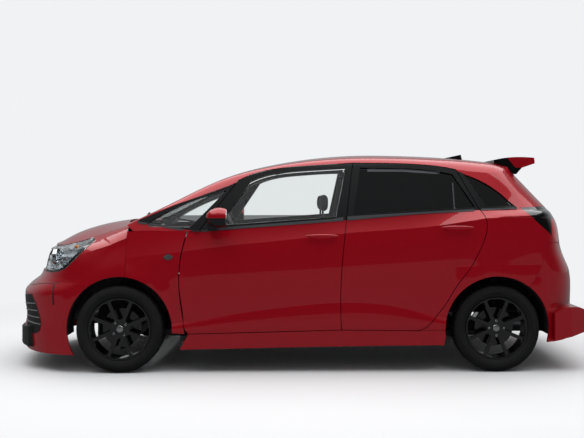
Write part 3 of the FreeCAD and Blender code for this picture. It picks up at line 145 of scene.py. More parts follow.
# %% Floor
ROOM_COLOUR, ROOM_LEVEL = linear("#F8FAFC"), 0.93
FLOOR_RADIUS, FADE_START, FADE_END, MIRROR_SHADE = 60, 1.8, 4.6, 0.8
ground = bmesh.new()
bmesh.ops.create_circle(ground, cap_ends=True, segments=96, radius=FLOOR_RADIUS)
ground_mesh = bpy.data.meshes.new("studio_floor")
ground.to_mesh(ground_mesh)
ground.free()
studio_floor = bpy.data.objects.new("studio_floor", ground_mesh)
bpy.context.scene.collection.objects.link(studio_floor)
paper, paper_tree, paper_shader = new_material("matt_white_paint", {"Roughness": 0.6, "Specular IOR Level": 0.2})
spot = place_of(paper_tree)[0]
scuffs = add(paper_tree, "ShaderNodeTexNoise", {"Scale": 0.6, "Detail": 4.0}, {"Vector": spot})
paper_tree.links.new(mixed(paper_tree, scuffs.outputs[0], "#EAEBEC", "#F1F2F3"), paper_shader.inputs["Base Color"])
across = add(paper_tree, "ShaderNodeVectorMath", {"operation": "LENGTH"}, {0: spot}).outputs["Value"]
fade = add(paper_tree, "ShaderNodeMapRange", {"From Min": FADE_START, "From Max": FADE_END}, {"Value": across})
glow = add(paper_tree, "ShaderNodeEmission", {"Color": ROOM_COLOUR, "Strength": ROOM_LEVEL})
lit = add(paper_tree, "ShaderNodeMixShader", {}, {0: fade.outputs[0], 1: paper_shader.outputs[0], 2: glow.outputs[0]})
glossy_ray = add(paper_tree, "ShaderNodeLightPath").outputs["Is Glossy Ray"]
mirrored = maths(paper_tree, "MULTIPLY", glossy_ray, MIRROR_SHADE)
unlit = add(paper_tree, "ShaderNodeEmission", {"Strength": 0.0})
blend = add(paper_tree, "ShaderNodeMixShader", {}, {0: mirrored, 1: lit.outputs[0], 2: unlit.outputs[0]})
paper_tree.links.new(blend.outputs[0], paper_tree.nodes["Material Output"].inputs["Surface"])
studio_floor.data.materials.append(paper)
print("floor faces:", len(ground_mesh.polygons))

# %% [markdown]
# A large soft box overhead lights the upper faces and draws the pale streaks along the roof. The room's light tells
# three kinds of ray apart. The camera, and what it sees through glass, gets plain white walls. Mirror images get a dim
# room that is darkest where the photographer stands. All other light is an even fill.


# %% Lamps and the room's light
FILL_LEVEL, OVERHEAD_LEVEL = 0.32, 0.45


def soft_lamp(name, place, aim, width, height, power):
    """Rectangular soft box that points at a spot."""
    data = bpy.data.lights.new(name, "AREA")
    data.shape = "RECTANGLE"
    data.size, data.size_y, data.energy = width, height, power
    lamp = bpy.data.objects.new(name, data)
    lamp.location = place
    lamp.rotation_euler = (Vector(aim) - Vector(place)).to_track_quat("-Z", "Y").to_euler()
    bpy.context.scene.collection.objects.link(lamp)
    return lamp


soft_lamp("ceiling_box", place=(0, -0.4, 5.0), aim=(0, -0.4, 0), width=10.0, height=7.5, power=500)
world = bpy.data.worlds.new("white_room")
bpy.context.scene.world = world
world.use_nodes = True
room = world.node_tree
room.nodes.clear()
rays = add(room, "ShaderNodeLightPath")
way = add(room, "ShaderNodeSeparateXYZ", {}, {0: add(room, "ShaderNodeTexCoord").outputs["Generated"]})
upward = add(room, "ShaderNodeMapRange", {"From Min": 0.35, "From Max": 0.8}, {"Value": way.outputs[2]})
far_side = add(room, "ShaderNodeMapRange", {"From Min": -0.1, "From Max": 0.6, "To Min": 0.02, "To Max": 0.36},
               {"Value": way.outputs[1]})
walls = maths(room, "MAXIMUM", far_side.outputs[0], maths(room, "MULTIPLY", upward.outputs[0], OVERHEAD_LEVEL))
seen = maths(room, "MAXIMUM", rays.outputs["Is Camera Ray"], rays.outputs["Is Transmission Ray"])
glossy = maths(room, "MULTIPLY", rays.outputs["Is Glossy Ray"], maths(room, "SUBTRACT", 1.0, seen))
plain = maths(room, "SUBTRACT", 1.0, maths(room, "MAXIMUM", seen, glossy))
level = maths(room, "ADD", maths(room, "MULTIPLY", seen, ROOM_LEVEL), maths(room, "MULTIPLY", glossy, walls))
level = maths(room, "ADD", level, maths(room, "MULTIPLY", plain, FILL_LEVEL))
sky = add(room, "ShaderNodeBackground", {"Color": ROOM_COLOUR}, {"Strength": level})
add(room, "ShaderNodeOutputWorld", {}, {"Surface": sky.outputs[0]})

# %% [markdown]
# The body is steel with crimson lacquer: a coloured base with fine metal flakes under a hard clear coat. The coat
# gives sharp, nearly white reflections, and the flakes give the deep colour its soft glow. The same pressing also
# carries black parts: above the belt line the door frames and pillars wear black film, and towards the cabin each
# panel wears a grey trim. The two lines that divide red from black run along the car, so a curve of height over
# length draws them.

# %% Lines between red and black
BELT = [(-1.14, 1.03), (-1.011, 0.996), (-0.82, 0.966), (-0.657, 0.945), (-0.456, 0.961), (0.343, 1.021),
        (0.80, 1.062), (1.242, 1.088), (1.50, 1.099)]
RAIL = [(-1.14, 0.985), (-1.095, 1.006), (-0.797, 1.133), (-0.449, 1.258), (-0.331, 1.318), (-0.198, 1.357),
        (0.02, 1.384), (0.218, 1.397), (0.391, 1.408), (0.734, 1.403), (0.908, 1.392), (1.059, 1.371), (1.125, 1.349),
        (1.309, 1.262), (1.50, 1.105)]
LINE_START, LINE_LENGTH, LINE_LOW, LINE_RISE = -1.2, 2.8, 0.9, 0.6
FILM_END = 1.5
FACING_IN = -0.25


def height_line(tree, x, points):
    """Height of a styling line at the station x, as a socket."""
    share = maths(tree, "DIVIDE", maths(tree, "SUBTRACT", x, LINE_START), LINE_LENGTH)
    curve = add(tree, "ShaderNodeFloatCurve", {}, {"Value": share})
    line = curve.mapping.curves[0]
    shares = [((a - LINE_START) / LINE_LENGTH, (b - LINE_LOW) / LINE_RISE) for a, b in points]
    line.points[0].location = (0.0, shares[0][1])
    line.points[1].location = (1.0, shares[-1][1])
    for spot in shares:
        line.points.new(*spot)
    for point in line.points:
        point.handle_type = "VECTOR"
    curve.mapping.update()
    return maths(tree, "ADD", maths(tree, "MULTIPLY", curve.outputs[0], LINE_RISE), LINE_LOW)


def inward(tree, y):
    """1 where a panel's face looks towards the cabin."""
    normal = add(tree, "ShaderNodeTexCoord").outputs["Normal"]
    across = add(tree, "ShaderNodeSeparateXYZ", {}, {0: normal}).outputs[1]
    return maths(tree, "LESS_THAN", maths(tree, "MULTIPLY", across, y), FACING_IN)


print("belt line points:", len(BELT), "rail line points:", len(RAIL))


# %% Crimson lacquer
PAINT = {"Roughness": 0.34, "Metallic": 0.3, "IOR": 1.5, "Specular IOR Level": 0.15,
         "Coat Weight": 1.0, "Coat Roughness": 0.03, "Coat IOR": 1.5}


def flakes(tree, where):
    """Crimson base coat, flecked with flakes about half a millimetre across."""
    grain = add(tree, "ShaderNodeTexNoise", {"Scale": 1800.0, "Detail": 1.0}, {"Vector": where})
    return mixed(tree, grain.outputs[0], "#86020F", "#AC061C")


def lacquer(name, covered=None):
    """Crimson paint, where asked with one region in black. The region is worked out from a spot's place."""
    material, tree, shader = new_material(name, PAINT)
    where, x, y, z = place_of(tree)
    colour = flakes(tree, where)
    if covered:
        colour = mixed(tree, covered(tree, x, y, z), colour, "#08090A")
    tree.links.new(colour, shader.inputs["Base Color"])
    return material


def under_wing(tree, x, y, z):
    """Foot of the roof spoiler: everything ahead of the line from its top edge to its lower corner."""
    slope = maths(tree, "MULTIPLY", maths(tree, "SUBTRACT", 1.456, z), 0.85)
    ahead = maths(tree, "LESS_THAN", maths(tree, "SUBTRACT", x, 1.495), slope)
    return maths(tree, "MAXIMUM", ahead, maths(tree, "LESS_THAN", z, 1.386))


def mirror_foot(tree, x, y, z):
    """Foot of a door mirror, below its painted shell."""
    return maths(tree, "LESS_THAN", z, 1.038)


def film_lacquer(name, under_rail):
    """Crimson paint with black film above the belt line and grey trim on the cabin side. On a body side the film
    ends at the roof rail and behind the quarter light."""
    material, tree, shader = new_material(name, PAINT)
    where, x, y, z = place_of(tree)
    film = maths(tree, "GREATER_THAN", z, height_line(tree, x, BELT))
    if under_rail:
        film = maths(tree, "MULTIPLY", film, maths(tree, "LESS_THAN", z, height_line(tree, x, RAIL)))
        film = maths(tree, "MULTIPLY", film, maths(tree, "LESS_THAN", x, FILM_END))
    trim = inward(tree, y)
    bare = maths(tree, "MAXIMUM", trim, maths(tree, "MULTIPLY", film, 0.85))
    made = {
        "Base Color": mixed(tree, trim, mixed(tree, film, flakes(tree, where), "#090A0C"), "#141516"),
        "Roughness": maths(tree, "ADD", maths(tree, "MULTIPLY", trim, 0.38), 0.32),
        "Metallic": maths(tree, "MULTIPLY", maths(tree, "SUBTRACT", 1.0, film), PAINT["Metallic"]),
        "Coat Weight": maths(tree, "SUBTRACT", 1.0, bare),
    }
    for socket, value in made.items():
        tree.links.new(value, shader.inputs[socket])
    return material


plain_lacquer = lacquer("crimson_lacquer")
spoiler_lacquer = lacquer("crimson_lacquer_spoiler", under_wing)
mirror_lacquer = lacquer("crimson_lacquer_mirror", mirror_foot)
door_lacquer = film_lacquer("crimson_lacquer_door", under_rail=False)
side_lacquer = film_lacquer("crimson_lacquer_side", under_rail=True)
print("paints:", plain_lacquer.name, door_lacquer.name, side_lacquer.name)

# %% [markdown]
# Most of what isn't painted is polymer. Moulded polypropylene has a fine pebble grain and a soft sheen; acrylic
# garnish is polished and black. The grain is about a millimetre across on the car, and a bump node raises it.


# %% Polymers and rubber
def moulded(name, colour, roughness, grain_mm=1.2, depth=0.25, coat=0.0):
    """Moulded polymer with a pebble grain."""
    material, tree, shader = new_material(name, {"Roughness": roughness, "IOR": 1.49, "Coat Weight": coat,
                                                 "Coat Roughness": 0.05})
    where = place_of(tree)[0]
    pebbles = add(tree, "ShaderNodeTexVoronoi", {"Scale": 1000.0 / grain_mm}, {"Vector": where})
    patches = add(tree, "ShaderNodeTexNoise", {"Scale": 6.0, "Detail": 3.0}, {"Vector": where})
    tone = mixed(tree, maths(tree, "MULTIPLY", patches.outputs[0], 0.3), colour, "#242527")
    height = pebbles.outputs["Distance"]
    bump = add(tree, "ShaderNodeBump", {"Strength": depth, "Distance": 0.0002}, {"Height": height})
    tree.links.new(tone, shader.inputs["Base Color"])
    tree.links.new(bump.outputs[0], shader.inputs["Normal"])
    return material


black_plastic = moulded("moulded_polypropylene", "#0C0D0E", 0.55)
liner_plastic = moulded("needled_arch_liner", "#050506", 0.95, grain_mm=3.0, depth=0.6)
dash_plastic = moulded("soft_touch_polymer", "#1D1E21", 0.6)
gloss_black = moulded("polished_black_acrylic", "#08090A", 0.12, depth=0.0, coat=1.0)
tyre_rubber = moulded("tyre_rubber", "#050506", 0.85, grain_mm=2.0, depth=0.3)
print("polymers:", black_plastic.name, liner_plastic.name, gloss_black.name)

# %% [markdown]
# The running gear is cast iron, rough and dark. The exhaust is bare steel, and the floor is sheet steel under a matt
# primer, which looks more like a polymer than like a metal. A cloudy noise makes the bare metals a little uneven.


# %% Metals
def metal(name, colour, roughness, grain_mm=4.0, depth=0.15):
    """Bare or plated metal with slight unevenness."""
    material, tree, shader = new_material(name, {"Base Color": linear(colour), "Metallic": 1.0, "Roughness": roughness})
    where = place_of(tree)[0]
    cloud = add(tree, "ShaderNodeTexNoise", {"Scale": 1000.0 / grain_mm / 6, "Detail": 4.0}, {"Vector": where})
    spread = maths(tree, "ADD", maths(tree, "MULTIPLY", cloud.outputs[0], 0.12), roughness - 0.05)
    bump = add(tree, "ShaderNodeBump", {"Strength": depth, "Distance": 0.0002}, {"Height": cloud.outputs[0]})
    tree.links.new(spread, shader.inputs["Roughness"])
    tree.links.new(bump.outputs[0], shader.inputs["Normal"])
    return material


cast_iron = metal("cast_iron", "#4A4B4D", 0.55, depth=0.5)
machined = metal("machined_steel", "#9C9EA1", 0.3)
sheet_steel = moulded("primed_sheet_steel", "#26272A", 0.5, grain_mm=3.0, depth=0.1)
print("metals:", cast_iron.name, machined.name, sheet_steel.name)

# %% [markdown]
# The windows are float glass. The front ones have a faint green tint and the rear ones are dark privacy glass, and the
# colour belongs to the glass itself, so a thick pane is darker than a thin one. The edge of a side pane is hidden in a
# black rubber channel: the material finds that edge where the face doesn't look sideways.


# %% Glass
EDGE_FACE = 0.45


def pane(name, colour, dark_behind=None, sealed=False):
    """Float glass with its tint in the glass itself. A side pane's edges sit in black rubber."""
    material, tree, shader = new_material(name, {"Base Color": linear(colour), "Roughness": 0.0, "IOR": 1.45,
                                                 "Transmission Weight": 1.0})
    tint = colour
    if dark_behind is not None:
        tint = mixed(tree, maths(tree, "GREATER_THAN", place_of(tree)[1], dark_behind), colour, "#1B1F21")
        tree.links.new(tint, shader.inputs["Base Color"])
    if sealed:
        normal = add(tree, "ShaderNodeTexCoord").outputs["Normal"]
        across = add(tree, "ShaderNodeSeparateXYZ", {}, {0: normal}).outputs[1]
        rubber = maths(tree, "LESS_THAN", maths(tree, "ABSOLUTE", across), EDGE_FACE)
        tree.links.new(mixed(tree, rubber, tint, "#050505"), shader.inputs["Base Color"])
        tree.links.new(maths(tree, "SUBTRACT", 1.0, rubber), shader.inputs["Transmission Weight"])
    return material


clear_glass = pane("green_tinted_glass", "#F6FAF9")
door_glass = pane("green_tinted_door_glass", "#FBFDFC", sealed=True)
dark_glass = pane("privacy_glass", "#22272A")
quarter_glass = pane("quarter_light_glass", "#F6FAF9", dark_behind=0.2, sealed=True)
lens_glass = pane("clear_polycarbonate", "#F2F5F7")
print("glasses:", clear_glass.name, dark_glass.name, lens_glass.name)

# %% [markdown]
# A wheel of this kind is cast aluminium under gloss black lacquer. Its solid also holds the brake disc, which is
# bare turned iron, so the material asks how far a spot lies from the axle and how far inboard it is.


# %% Wheels
FRONT_AXLE, REAR_AXLE, AXLE_HEIGHT, DISC_RADIUS = -1.18, 1.35, 0.292, 0.133


def wheel_finish(name, hub_x, disc_y):
    """Gloss black wheel whose brake disc is bare."""
    material, tree, shader = new_material(name, {"Roughness": 0.2, "Coat Weight": 1.0, "Coat Roughness": 0.04})
    where, x, y, z = place_of(tree)
    along = maths(tree, "SUBTRACT", x, hub_x)
    up = maths(tree, "SUBTRACT", z, AXLE_HEIGHT)
    squares = maths(tree, "ADD", maths(tree, "MULTIPLY", along, along), maths(tree, "MULTIPLY", up, up))
    radius = maths(tree, "SQRT", squares)
    inboard = maths(tree, "LESS_THAN", maths(tree, "ABSOLUTE", y), disc_y)
    disc = maths(tree, "MULTIPLY", maths(tree, "LESS_THAN", radius, DISC_RADIUS), inboard)
    rings = add(tree, "ShaderNodeTexNoise", {"noise_dimensions": "1D", "Scale": 900.0}, {"W": radius})
    iron = mixed(tree, rings.outputs[0], "#6E7073", "#B4B6B9")
    tree.links.new(mixed(tree, disc, "#050506", iron), shader.inputs["Base Color"])
    tree.links.new(disc, shader.inputs["Metallic"])
    tree.links.new(maths(tree, "ADD", 0.18, maths(tree, "MULTIPLY", disc, 0.15)), shader.inputs["Roughness"])
    tree.links.new(maths(tree, "SUBTRACT", 1.0, disc), shader.inputs["Coat Weight"])
    return material


front_wheel = wheel_finish("black_lacquered_wheel_front", FRONT_AXLE, 0.7215)
rear_wheel = wheel_finish("black_lacquered_wheel_rear", REAR_AXLE, 0.7165)
print("wheels:", front_wheel.name, rear_wheel.name)

# %% [markdown]
# The seats are covered in fabric. A woven cloth is two crossed sets of threads: two wave textures at right angles
# raise them. Real threads are finer, and these are about two millimetres apart so that they still show.


# %% Fabric
def cloth(name, colour, lighter, thread_mm=2.2):
    """Woven seat fabric."""
    material, tree, shader = new_material(name, {"Roughness": 0.9, "Sheen Weight": 0.25, "Sheen Roughness": 0.5})
    where = place_of(tree)[0]
    bands = 1000.0 / thread_mm / 20
    warp = add(tree, "ShaderNodeTexWave", {"Scale": bands, "bands_direction": "Y"}, {"Vector": where})
    weft = add(tree, "ShaderNodeTexWave", {"Scale": bands, "bands_direction": "Z"}, {"Vector": where})
    threads = maths(tree, "MULTIPLY", warp.outputs[1], weft.outputs[1])
    bump = add(tree, "ShaderNodeBump", {"Strength": 0.4, "Distance": 0.0005}, {"Height": threads})
    tree.links.new(mixed(tree, threads, colour, lighter), shader.inputs["Base Color"])
    tree.links.new(bump.outputs[0], shader.inputs["Normal"])
    return material


seat_cloth = cloth("woven_seat_cloth", "#1F2023", "#3A3B3F")
print("fabric:", seat_cloth.name)

# %% [markdown]
# A tail lamp is ribbed red acrylic. Its front corner and its top are smoked so dark that they look black, and two
# simple bounds on length and height mark that part off.

# %% Tail lamps
SMOKED_UNTIL, SMOKED_ABOVE = 1.733, 1.03
tail_lens, tail_tree, tail_shader = new_material("red_acrylic", {"Base Color": linear("#7A0410"), "Roughness": 0.08,
                                                                "Coat Weight": 1.0, "Coat Roughness": 0.02})
where, x, y, z = place_of(tail_tree)
ribs = add(tail_tree, "ShaderNodeTexWave", {"Scale": 40.0, "bands_direction": "Z"}, {"Vector": where})
smoked = maths(tail_tree, "MAXIMUM", maths(tail_tree, "LESS_THAN", x, SMOKED_UNTIL),
               maths(tail_tree, "GREATER_THAN", z, SMOKED_ABOVE))
ribbed = mixed(tail_tree, ribs.outputs[1], "#8A0510", "#C20D1E")
tail_tree.links.new(mixed(tail_tree, smoked, ribbed, "#0B0A0B"), tail_shader.inputs["Base Color"])
print("lamps:", tail_lens.name)

# %% [markdown]
# Every carried-over solid now gets the finish that its real piece has. The name of the piece picks the finish.

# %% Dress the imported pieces
FINISH = [
    ("body_side", side_lacquer), ("door_seals", black_plastic), ("door_", door_lacquer), ("handle_", plain_lacquer),
    ("window_front", door_glass), ("window_rear", dark_glass), ("quarter_windows", quarter_glass),
    ("windscreen", clear_glass), ("tailgate_window", dark_glass), ("bonnet", plain_lacquer),
    ("roof_spoiler", spoiler_lacquer), ("roof", plain_lacquer), ("aerial_fin", gloss_black),
    ("front_wings", plain_lacquer), ("front_bumper", plain_lacquer), ("rear_bumper", plain_lacquer),
    ("rear_lip", plain_lacquer), ("front_lip", black_plastic), ("tailgate", plain_lacquer),
    ("side_skirts", plain_lacquer), ("mirror_", mirror_lacquer), ("headlamp", lens_glass), ("tail_lamps", tail_lens),
    ("front_grille", black_plastic), ("cowl", black_plastic), ("floor_pan", sheet_steel),
    ("front_frame", sheet_steel), ("front_brackets", sheet_steel), ("rear_panel", sheet_steel),
    ("engine_block", cast_iron), ("dashboard", dash_plastic), ("steering_wheel", dash_plastic),
    ("front_seats", seat_cloth), ("rear_seat", seat_cloth), ("rear_axle", cast_iron),
    ("front_suspension", cast_iron), ("knuckle", cast_iron), ("exhaust", machined), ("wheel_housings", liner_plastic),
    ("tyre_", tyre_rubber), ("rim_front", front_wheel), ("rim_rear", rear_wheel),
]
for name, item in sorted(nodes.items()):
    finish = next((chosen for start, chosen in FINISH if name.startswith(start)), black_plastic)
    if len(item.data.materials) == 0:
        item.data.materials.append(finish)
    for slot in range(len(item.data.materials)):
        item.data.materials[slot] = finish
print("dressed:", len(nodes))

# %% [markdown]
# Small pieces follow: tyres with their tread, wheel nuts, lamp bowls, trims and seats. Each is a mesh of its own that
# rides on the body of the car that carries it. One function turns a finished bmesh into such a piece. Thin trims are
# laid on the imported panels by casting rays, which start far enough out to begin outside the car.


# %% Tools for the small pieces
RAY_START, SAME_SPOT = 3.0, 0.00002
SIDES = ((-1, "left"), (1, "right"))


def piece(name, shape, finish, body, sharp=35):
    """Object from a bmesh, riding on one body of the car."""
    bmesh.ops.remove_doubles(shape, verts=shape.verts, dist=SAME_SPOT)
    bmesh.ops.recalc_face_normals(shape, faces=shape.faces)
    mesh = bpy.data.meshes.new(name)
    shape.to_mesh(mesh)
    shape.free()
    mesh.shade_smooth()
    mesh.set_sharp_from_angle(angle=math.radians(sharp))
    mesh.materials.append(finish)
    made = bpy.data.objects.new(name, mesh)
    bpy.context.scene.collection.objects.link(made)
    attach(made, body)
    return made


def box_of(name):
    """Low corner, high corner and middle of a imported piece."""
    low, high = (Vector(corner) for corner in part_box(name))
    return low, high, (low + high) / 2


def skin_of(*names):
    """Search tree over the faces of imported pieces, to lay trims on."""
    joined = bmesh.new()
    for name in names:
        joined.from_mesh(nodes[name].data)
    tree = BVHTree.FromBMesh(joined)
    joined.free()
    return tree


def resampled(points, count):
    """The same line with evenly spread points."""
    points = [Vector(point) for point in points]
    steps = [0.0]
    for first, second in zip(points, points[1:]):
        steps.append(steps[-1] + (second - first).length)
    spread = []
    for number in range(count + 1):
        reach = steps[-1] * number / count
        index = max(i for i in range(len(points) - 1) if steps[i] <= reach + 1e-9)
        share = (reach - steps[index]) / (steps[index + 1] - steps[index])
        spread.append(points[index].lerp(points[index + 1], min(share, 1.0)))
    return spread


def at_side(y, line):
    """Line of (x, z) points, stood at one distance from the middle of the car."""
    return [(x, y, z) for x, z in line]


def draped(shape, upper, lower, skin, ray, thick, columns=24, rows=3, sunk=0.001):
    """Strip between two lines, laid on a skin along a ray and as thick as asked."""
    ray = Vector(ray).normalized()
    tops, feet = resampled(upper, columns), resampled(lower, columns)
    outside, inside = [], []
    for top, foot in zip(tops, feet):
        out_row, in_row = [], []
        for number in range(rows + 1):
            start = top.lerp(foot, number / rows) - ray * RAY_START
            spot = skin.ray_cast(start, ray)[0] or start + ray * RAY_START
            out_row.append(shape.verts.new(spot - ray * thick))
            in_row.append(shape.verts.new(spot + ray * sunk))
        outside.append(out_row)
        inside.append(in_row)
    for column in range(columns):
        for number in range(rows):
            for grid in (outside, inside):
                shape.faces.new((grid[column][number], grid[column + 1][number], grid[column + 1][number + 1],
                                 grid[column][number + 1]))
        for number in (0, rows):
            shape.faces.new((outside[column][number], outside[column + 1][number], inside[column + 1][number],
                             inside[column][number]))
    for column in (0, columns):
        for number in range(rows):
            shape.faces.new((outside[column][number], outside[column][number + 1], inside[column][number + 1],
                             inside[column][number]))


def turned(shape, profile, centre, steps, axis=(0, 1, 0)):
    """Ring of a profile of (distance along the axis, radius) points, spun round the centre."""
    axis = Vector(axis).normalized()
    side = axis.orthogonal().normalized()
    spots = [shape.verts.new(Vector(centre) + axis * along + side * radius) for along, radius in profile]
    rim = [shape.edges.new(pair) for pair in zip(spots, spots[1:])]
    bmesh.ops.spin(shape, geom=spots + rim, cent=centre, axis=axis, dvec=(0, 0, 0), angle=math.tau, steps=steps,
                   use_merge=True, use_duplicate=False)


def block(shape, low, high, bevel=0.0, segments=2):
    """Rectangular block with rounded edges."""
    low, high = Vector(low), Vector(high)
    made = bmesh.ops.create_cube(shape, size=1.0, matrix=Matrix.LocRotScale((low + high) / 2, None, high - low))
    if bevel:
        edges = list({edge for vert in made["verts"] for edge in vert.link_edges})
        bmesh.ops.bevel(shape, geom=edges, offset=bevel, affect="EDGES", segments=segments, profile=0.5, material=-1)


print("tools ready")

# %% [markdown]
# A tyre is built from a section, as in a mould: bead, bulging sidewall, shoulder and a tread with grooves round the
# wheel. The grooves across the tread come after the spin, by pressing single faces of the ribs inwards.

# %% Tyres
WHEELS = {"front_left": "wheel_front_left", "front_right": "wheel_front_right",
          "rear_left": "wheel_rear_left", "rear_right": "wheel_rear_right"}
GROOVE, SLOT_DEPTH = 0.006, 0.0045
SLOT_BANDS = ((0.018, 0.042), (0.050, 0.075))
TYRE_STEPS, SLOT_EVERY, SLOT_SHIFT = 180, 5, 3


def tyre_section(half, radius, rim):
    """Half of the section from the middle of the tread to the bead, as (across, radius)."""
    wall = radius - rim
    return [(0.0, radius), (0.010, radius), (0.011, radius - GROOVE), (0.016, radius - GROOVE), (0.017, radius),
            (0.042, radius - 0.0005), (0.043, radius - GROOVE), (0.049, radius - GROOVE), (0.050, radius - 0.001),
            (0.062, radius - 0.002), (0.072, radius - 0.005), (half - 0.013, radius - 0.010),
            (half - 0.008, radius - 0.018), (half - 0.0045, radius - 0.024), (half - 0.0035, rim + wall * 0.62),
            (half - 0.0008, rim + wall * 0.60), (half, rim + wall * 0.46), (half - 0.001, rim + wall * 0.36),
            (half - 0.0035, rim + wall * 0.35), (half - 0.006, rim + wall * 0.22), (half - 0.0105, rim + wall * 0.10),
            (half - 0.018, rim + 0.002), (half - 0.026, rim - 0.001)]


for place, body in WHEELS.items():
    low, high, centre = box_of("tyre_" + place)
    rim_low, rim_high, _ = box_of("rim_" + place)
    section = tyre_section((high.y - low.y) / 2, (high.z - low.z) / 2 - 0.0003, (rim_high.z - rim_low.z) / 2 + 0.003)
    tyre = bmesh.new()
    turned(tyre, [(-along, radius) for along, radius in section[::-1]] + section[1:], centre, TYRE_STEPS)
    ribs = []
    for face in tyre.faces:
        middle = face.calc_center_median() - centre
        reach, angle = math.hypot(middle.x, middle.z), math.degrees(math.atan2(middle.z, middle.x))
        on_band = any(inner < abs(middle.y) < outer for inner, outer in SLOT_BANDS)
        if on_band and reach > (high.z - low.z) / 2 - 0.009:
            step = int(round((angle + 360) * TYRE_STEPS / 360 - 0.5))
            if (step + (SLOT_SHIFT if middle.y > 0 else 0)) % SLOT_EVERY == 0:
                ribs.append(face)
    pressed = bmesh.ops.extrude_discrete_faces(tyre, faces=ribs)["faces"]
    for face in pressed:
        for vert in face.verts:
            away = Vector((vert.co.x - centre.x, 0, vert.co.z - centre.z)).normalized()
            vert.co -= away * SLOT_DEPTH
    made = piece("tyre_tread_" + place, tyre, tyre_rubber, body, sharp=50)
    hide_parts("tyre_" + place)
print("tyres:", len(WHEELS))

# %% [markdown]
# Each wheel is held by four nuts on a circle of 100 mm and wears a plain silver cap over the hub. The nuts of the four
# wheels stand at different angles, as on any car that was rolled into place.

# %% Wheel nuts and caps
NUT_TURN = {"front_left": 37, "front_right": 20, "rear_left": 90, "rear_right": 65}
NUTS, NUT_CIRCLE, HUB_FACE = 4, 0.100, 0.054
silver = metal("satin_silver", "#C6C8CA", 0.25, depth=0.05)
for place, body in WHEELS.items():
    centre = box_of("rim_" + place)[2]
    out = -1 if "left" in place else 1
    face_y = centre.y + out * HUB_FACE
    hub = bmesh.new()
    cap = [(0.0, 0.0225), (0.006, 0.0225), (0.0075, 0.021), (0.0085, 0.015), (0.009, 0.0005)]
    turned(hub, [(out * along, radius) for along, radius in cap], (centre.x, face_y, centre.z), 48)
    for number in range(NUTS):
        angle = math.radians(NUT_TURN[place] + 360 / NUTS * number)
        nut = (centre.x + NUT_CIRCLE / 2 * math.cos(angle), face_y + out * 0.006,
               centre.z + NUT_CIRCLE / 2 * math.sin(angle))
        sides = [(-0.008, 0.0095), (0.004, 0.0095), (0.0065, 0.0075), (0.008, 0.0005)]
        turned(hub, [(out * along, radius) for along, radius in sides], nut, 6)
    piece("wheel_nuts_" + place, hub, silver, body, sharp=30)
print("nut circle, m:", NUT_CIRCLE)

# %% [markdown]
# A headlamp is a clear polycarbonate lens over a bowl. The lens follows the car's skin exactly, so it is taken from
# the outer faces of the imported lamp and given 3 mm of thickness. The other faces of the lamp become the bright bowl.
# In it sit a projector, spun from its profile, and the amber turn lamp.

# %% Headlamps
LENS_WALL, OUTWARD = 0.003, 0.45


def split_lamp(shape, side, outer):
    """Faces of one headlamp, either the ones that lie in the car's skin or the rest."""
    away = Vector((-1.0, 0.9 * side, 0.55)).normalized()
    return [face for face in shape.faces
            if face.calc_center_median().y * side > 0 and (face.normal.dot(away) > OUTWARD) == outer]


amber = new_material("amber_lens", {"Base Color": linear("#E07A18"), "Roughness": 0.15, "Transmission Weight": 0.6})[0]
bowl_finish = metal("vacuum_plated_reflector", "#B9BDC0", 0.16, depth=0.05)
for side, place in SIDES:
    for outer, kind, finish in ((True, "lens", lens_glass), (False, "bowl", bowl_finish)):
        shape = bmesh.new()
        shape.from_mesh(nodes["headlamps"].data)
        shape.normal_update()
        keep = set(split_lamp(shape, side, outer))
        bmesh.ops.delete(shape, geom=[face for face in shape.faces if face not in keep], context="FACES")
        bmesh.ops.solidify(shape, geom=shape.faces[:], thickness=LENS_WALL)
        piece("headlamp_%s_%s" % (kind, place), shape, finish, "body", sharp=60)
    inner = bmesh.new()
    low_beam = (-1.665, side * 0.60, 0.762)
    turned(inner, [(0.0, 0.006), (0.006, 0.020), (0.004, 0.030), (-0.004, 0.036), (-0.016, 0.038), (-0.016, 0.044),
                   (0.004, 0.052), (0.006, 0.058), (-0.020, 0.060)], low_beam, 40, axis=(-1, 0, 0))
    piece("headlamp_projector_" + place, inner, bowl_finish, "body")
    turn = bmesh.new()
    turned(turn, [(0.010, 0.001), (0.007, 0.010), (0.0, 0.014), (-0.016, 0.014)], (-1.505, side * 0.665, 0.835), 24,
           axis=(-0.6, 0.8 * side, 0))
    piece("headlamp_amber_" + place, turn, amber, "body")
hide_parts("headlamps")

# %% [markdown]
# The bumper has a blade-shaped grille near each corner with four bright fins, and a dark slit behind it. A small oval
# lamp sits on the wing, and a black border runs along the foot of the headlamp. They are thin trims, so each is a
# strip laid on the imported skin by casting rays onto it.

# %% Trims on the nose
MARKER_X, MARKER_LENGTH, MARKER_Z, MARKER_RISE = -0.889, 0.068, 0.7745, 0.020
LAMP_FOOT = [(-1.672, 0.664), (-1.617, 0.674), (-1.559, 0.698), (-1.503, 0.751), (-1.428, 0.826), (-1.378, 0.879)]
LAMP_RISE = [(-1.672, 0.672), (-1.620, 0.683), (-1.566, 0.708), (-1.513, 0.763), (-1.444, 0.840), (-1.400, 0.886)]
FIN_PLACES = (26, 42, 57, 71)


def on_skin(skin, ray, *spots):
    """The given spots moved along a ray onto a skin."""
    ray = Vector(ray)
    return [skin.ray_cast(Vector(spot) - ray * RAY_START, ray)[0] or Vector(spot) for spot in spots]


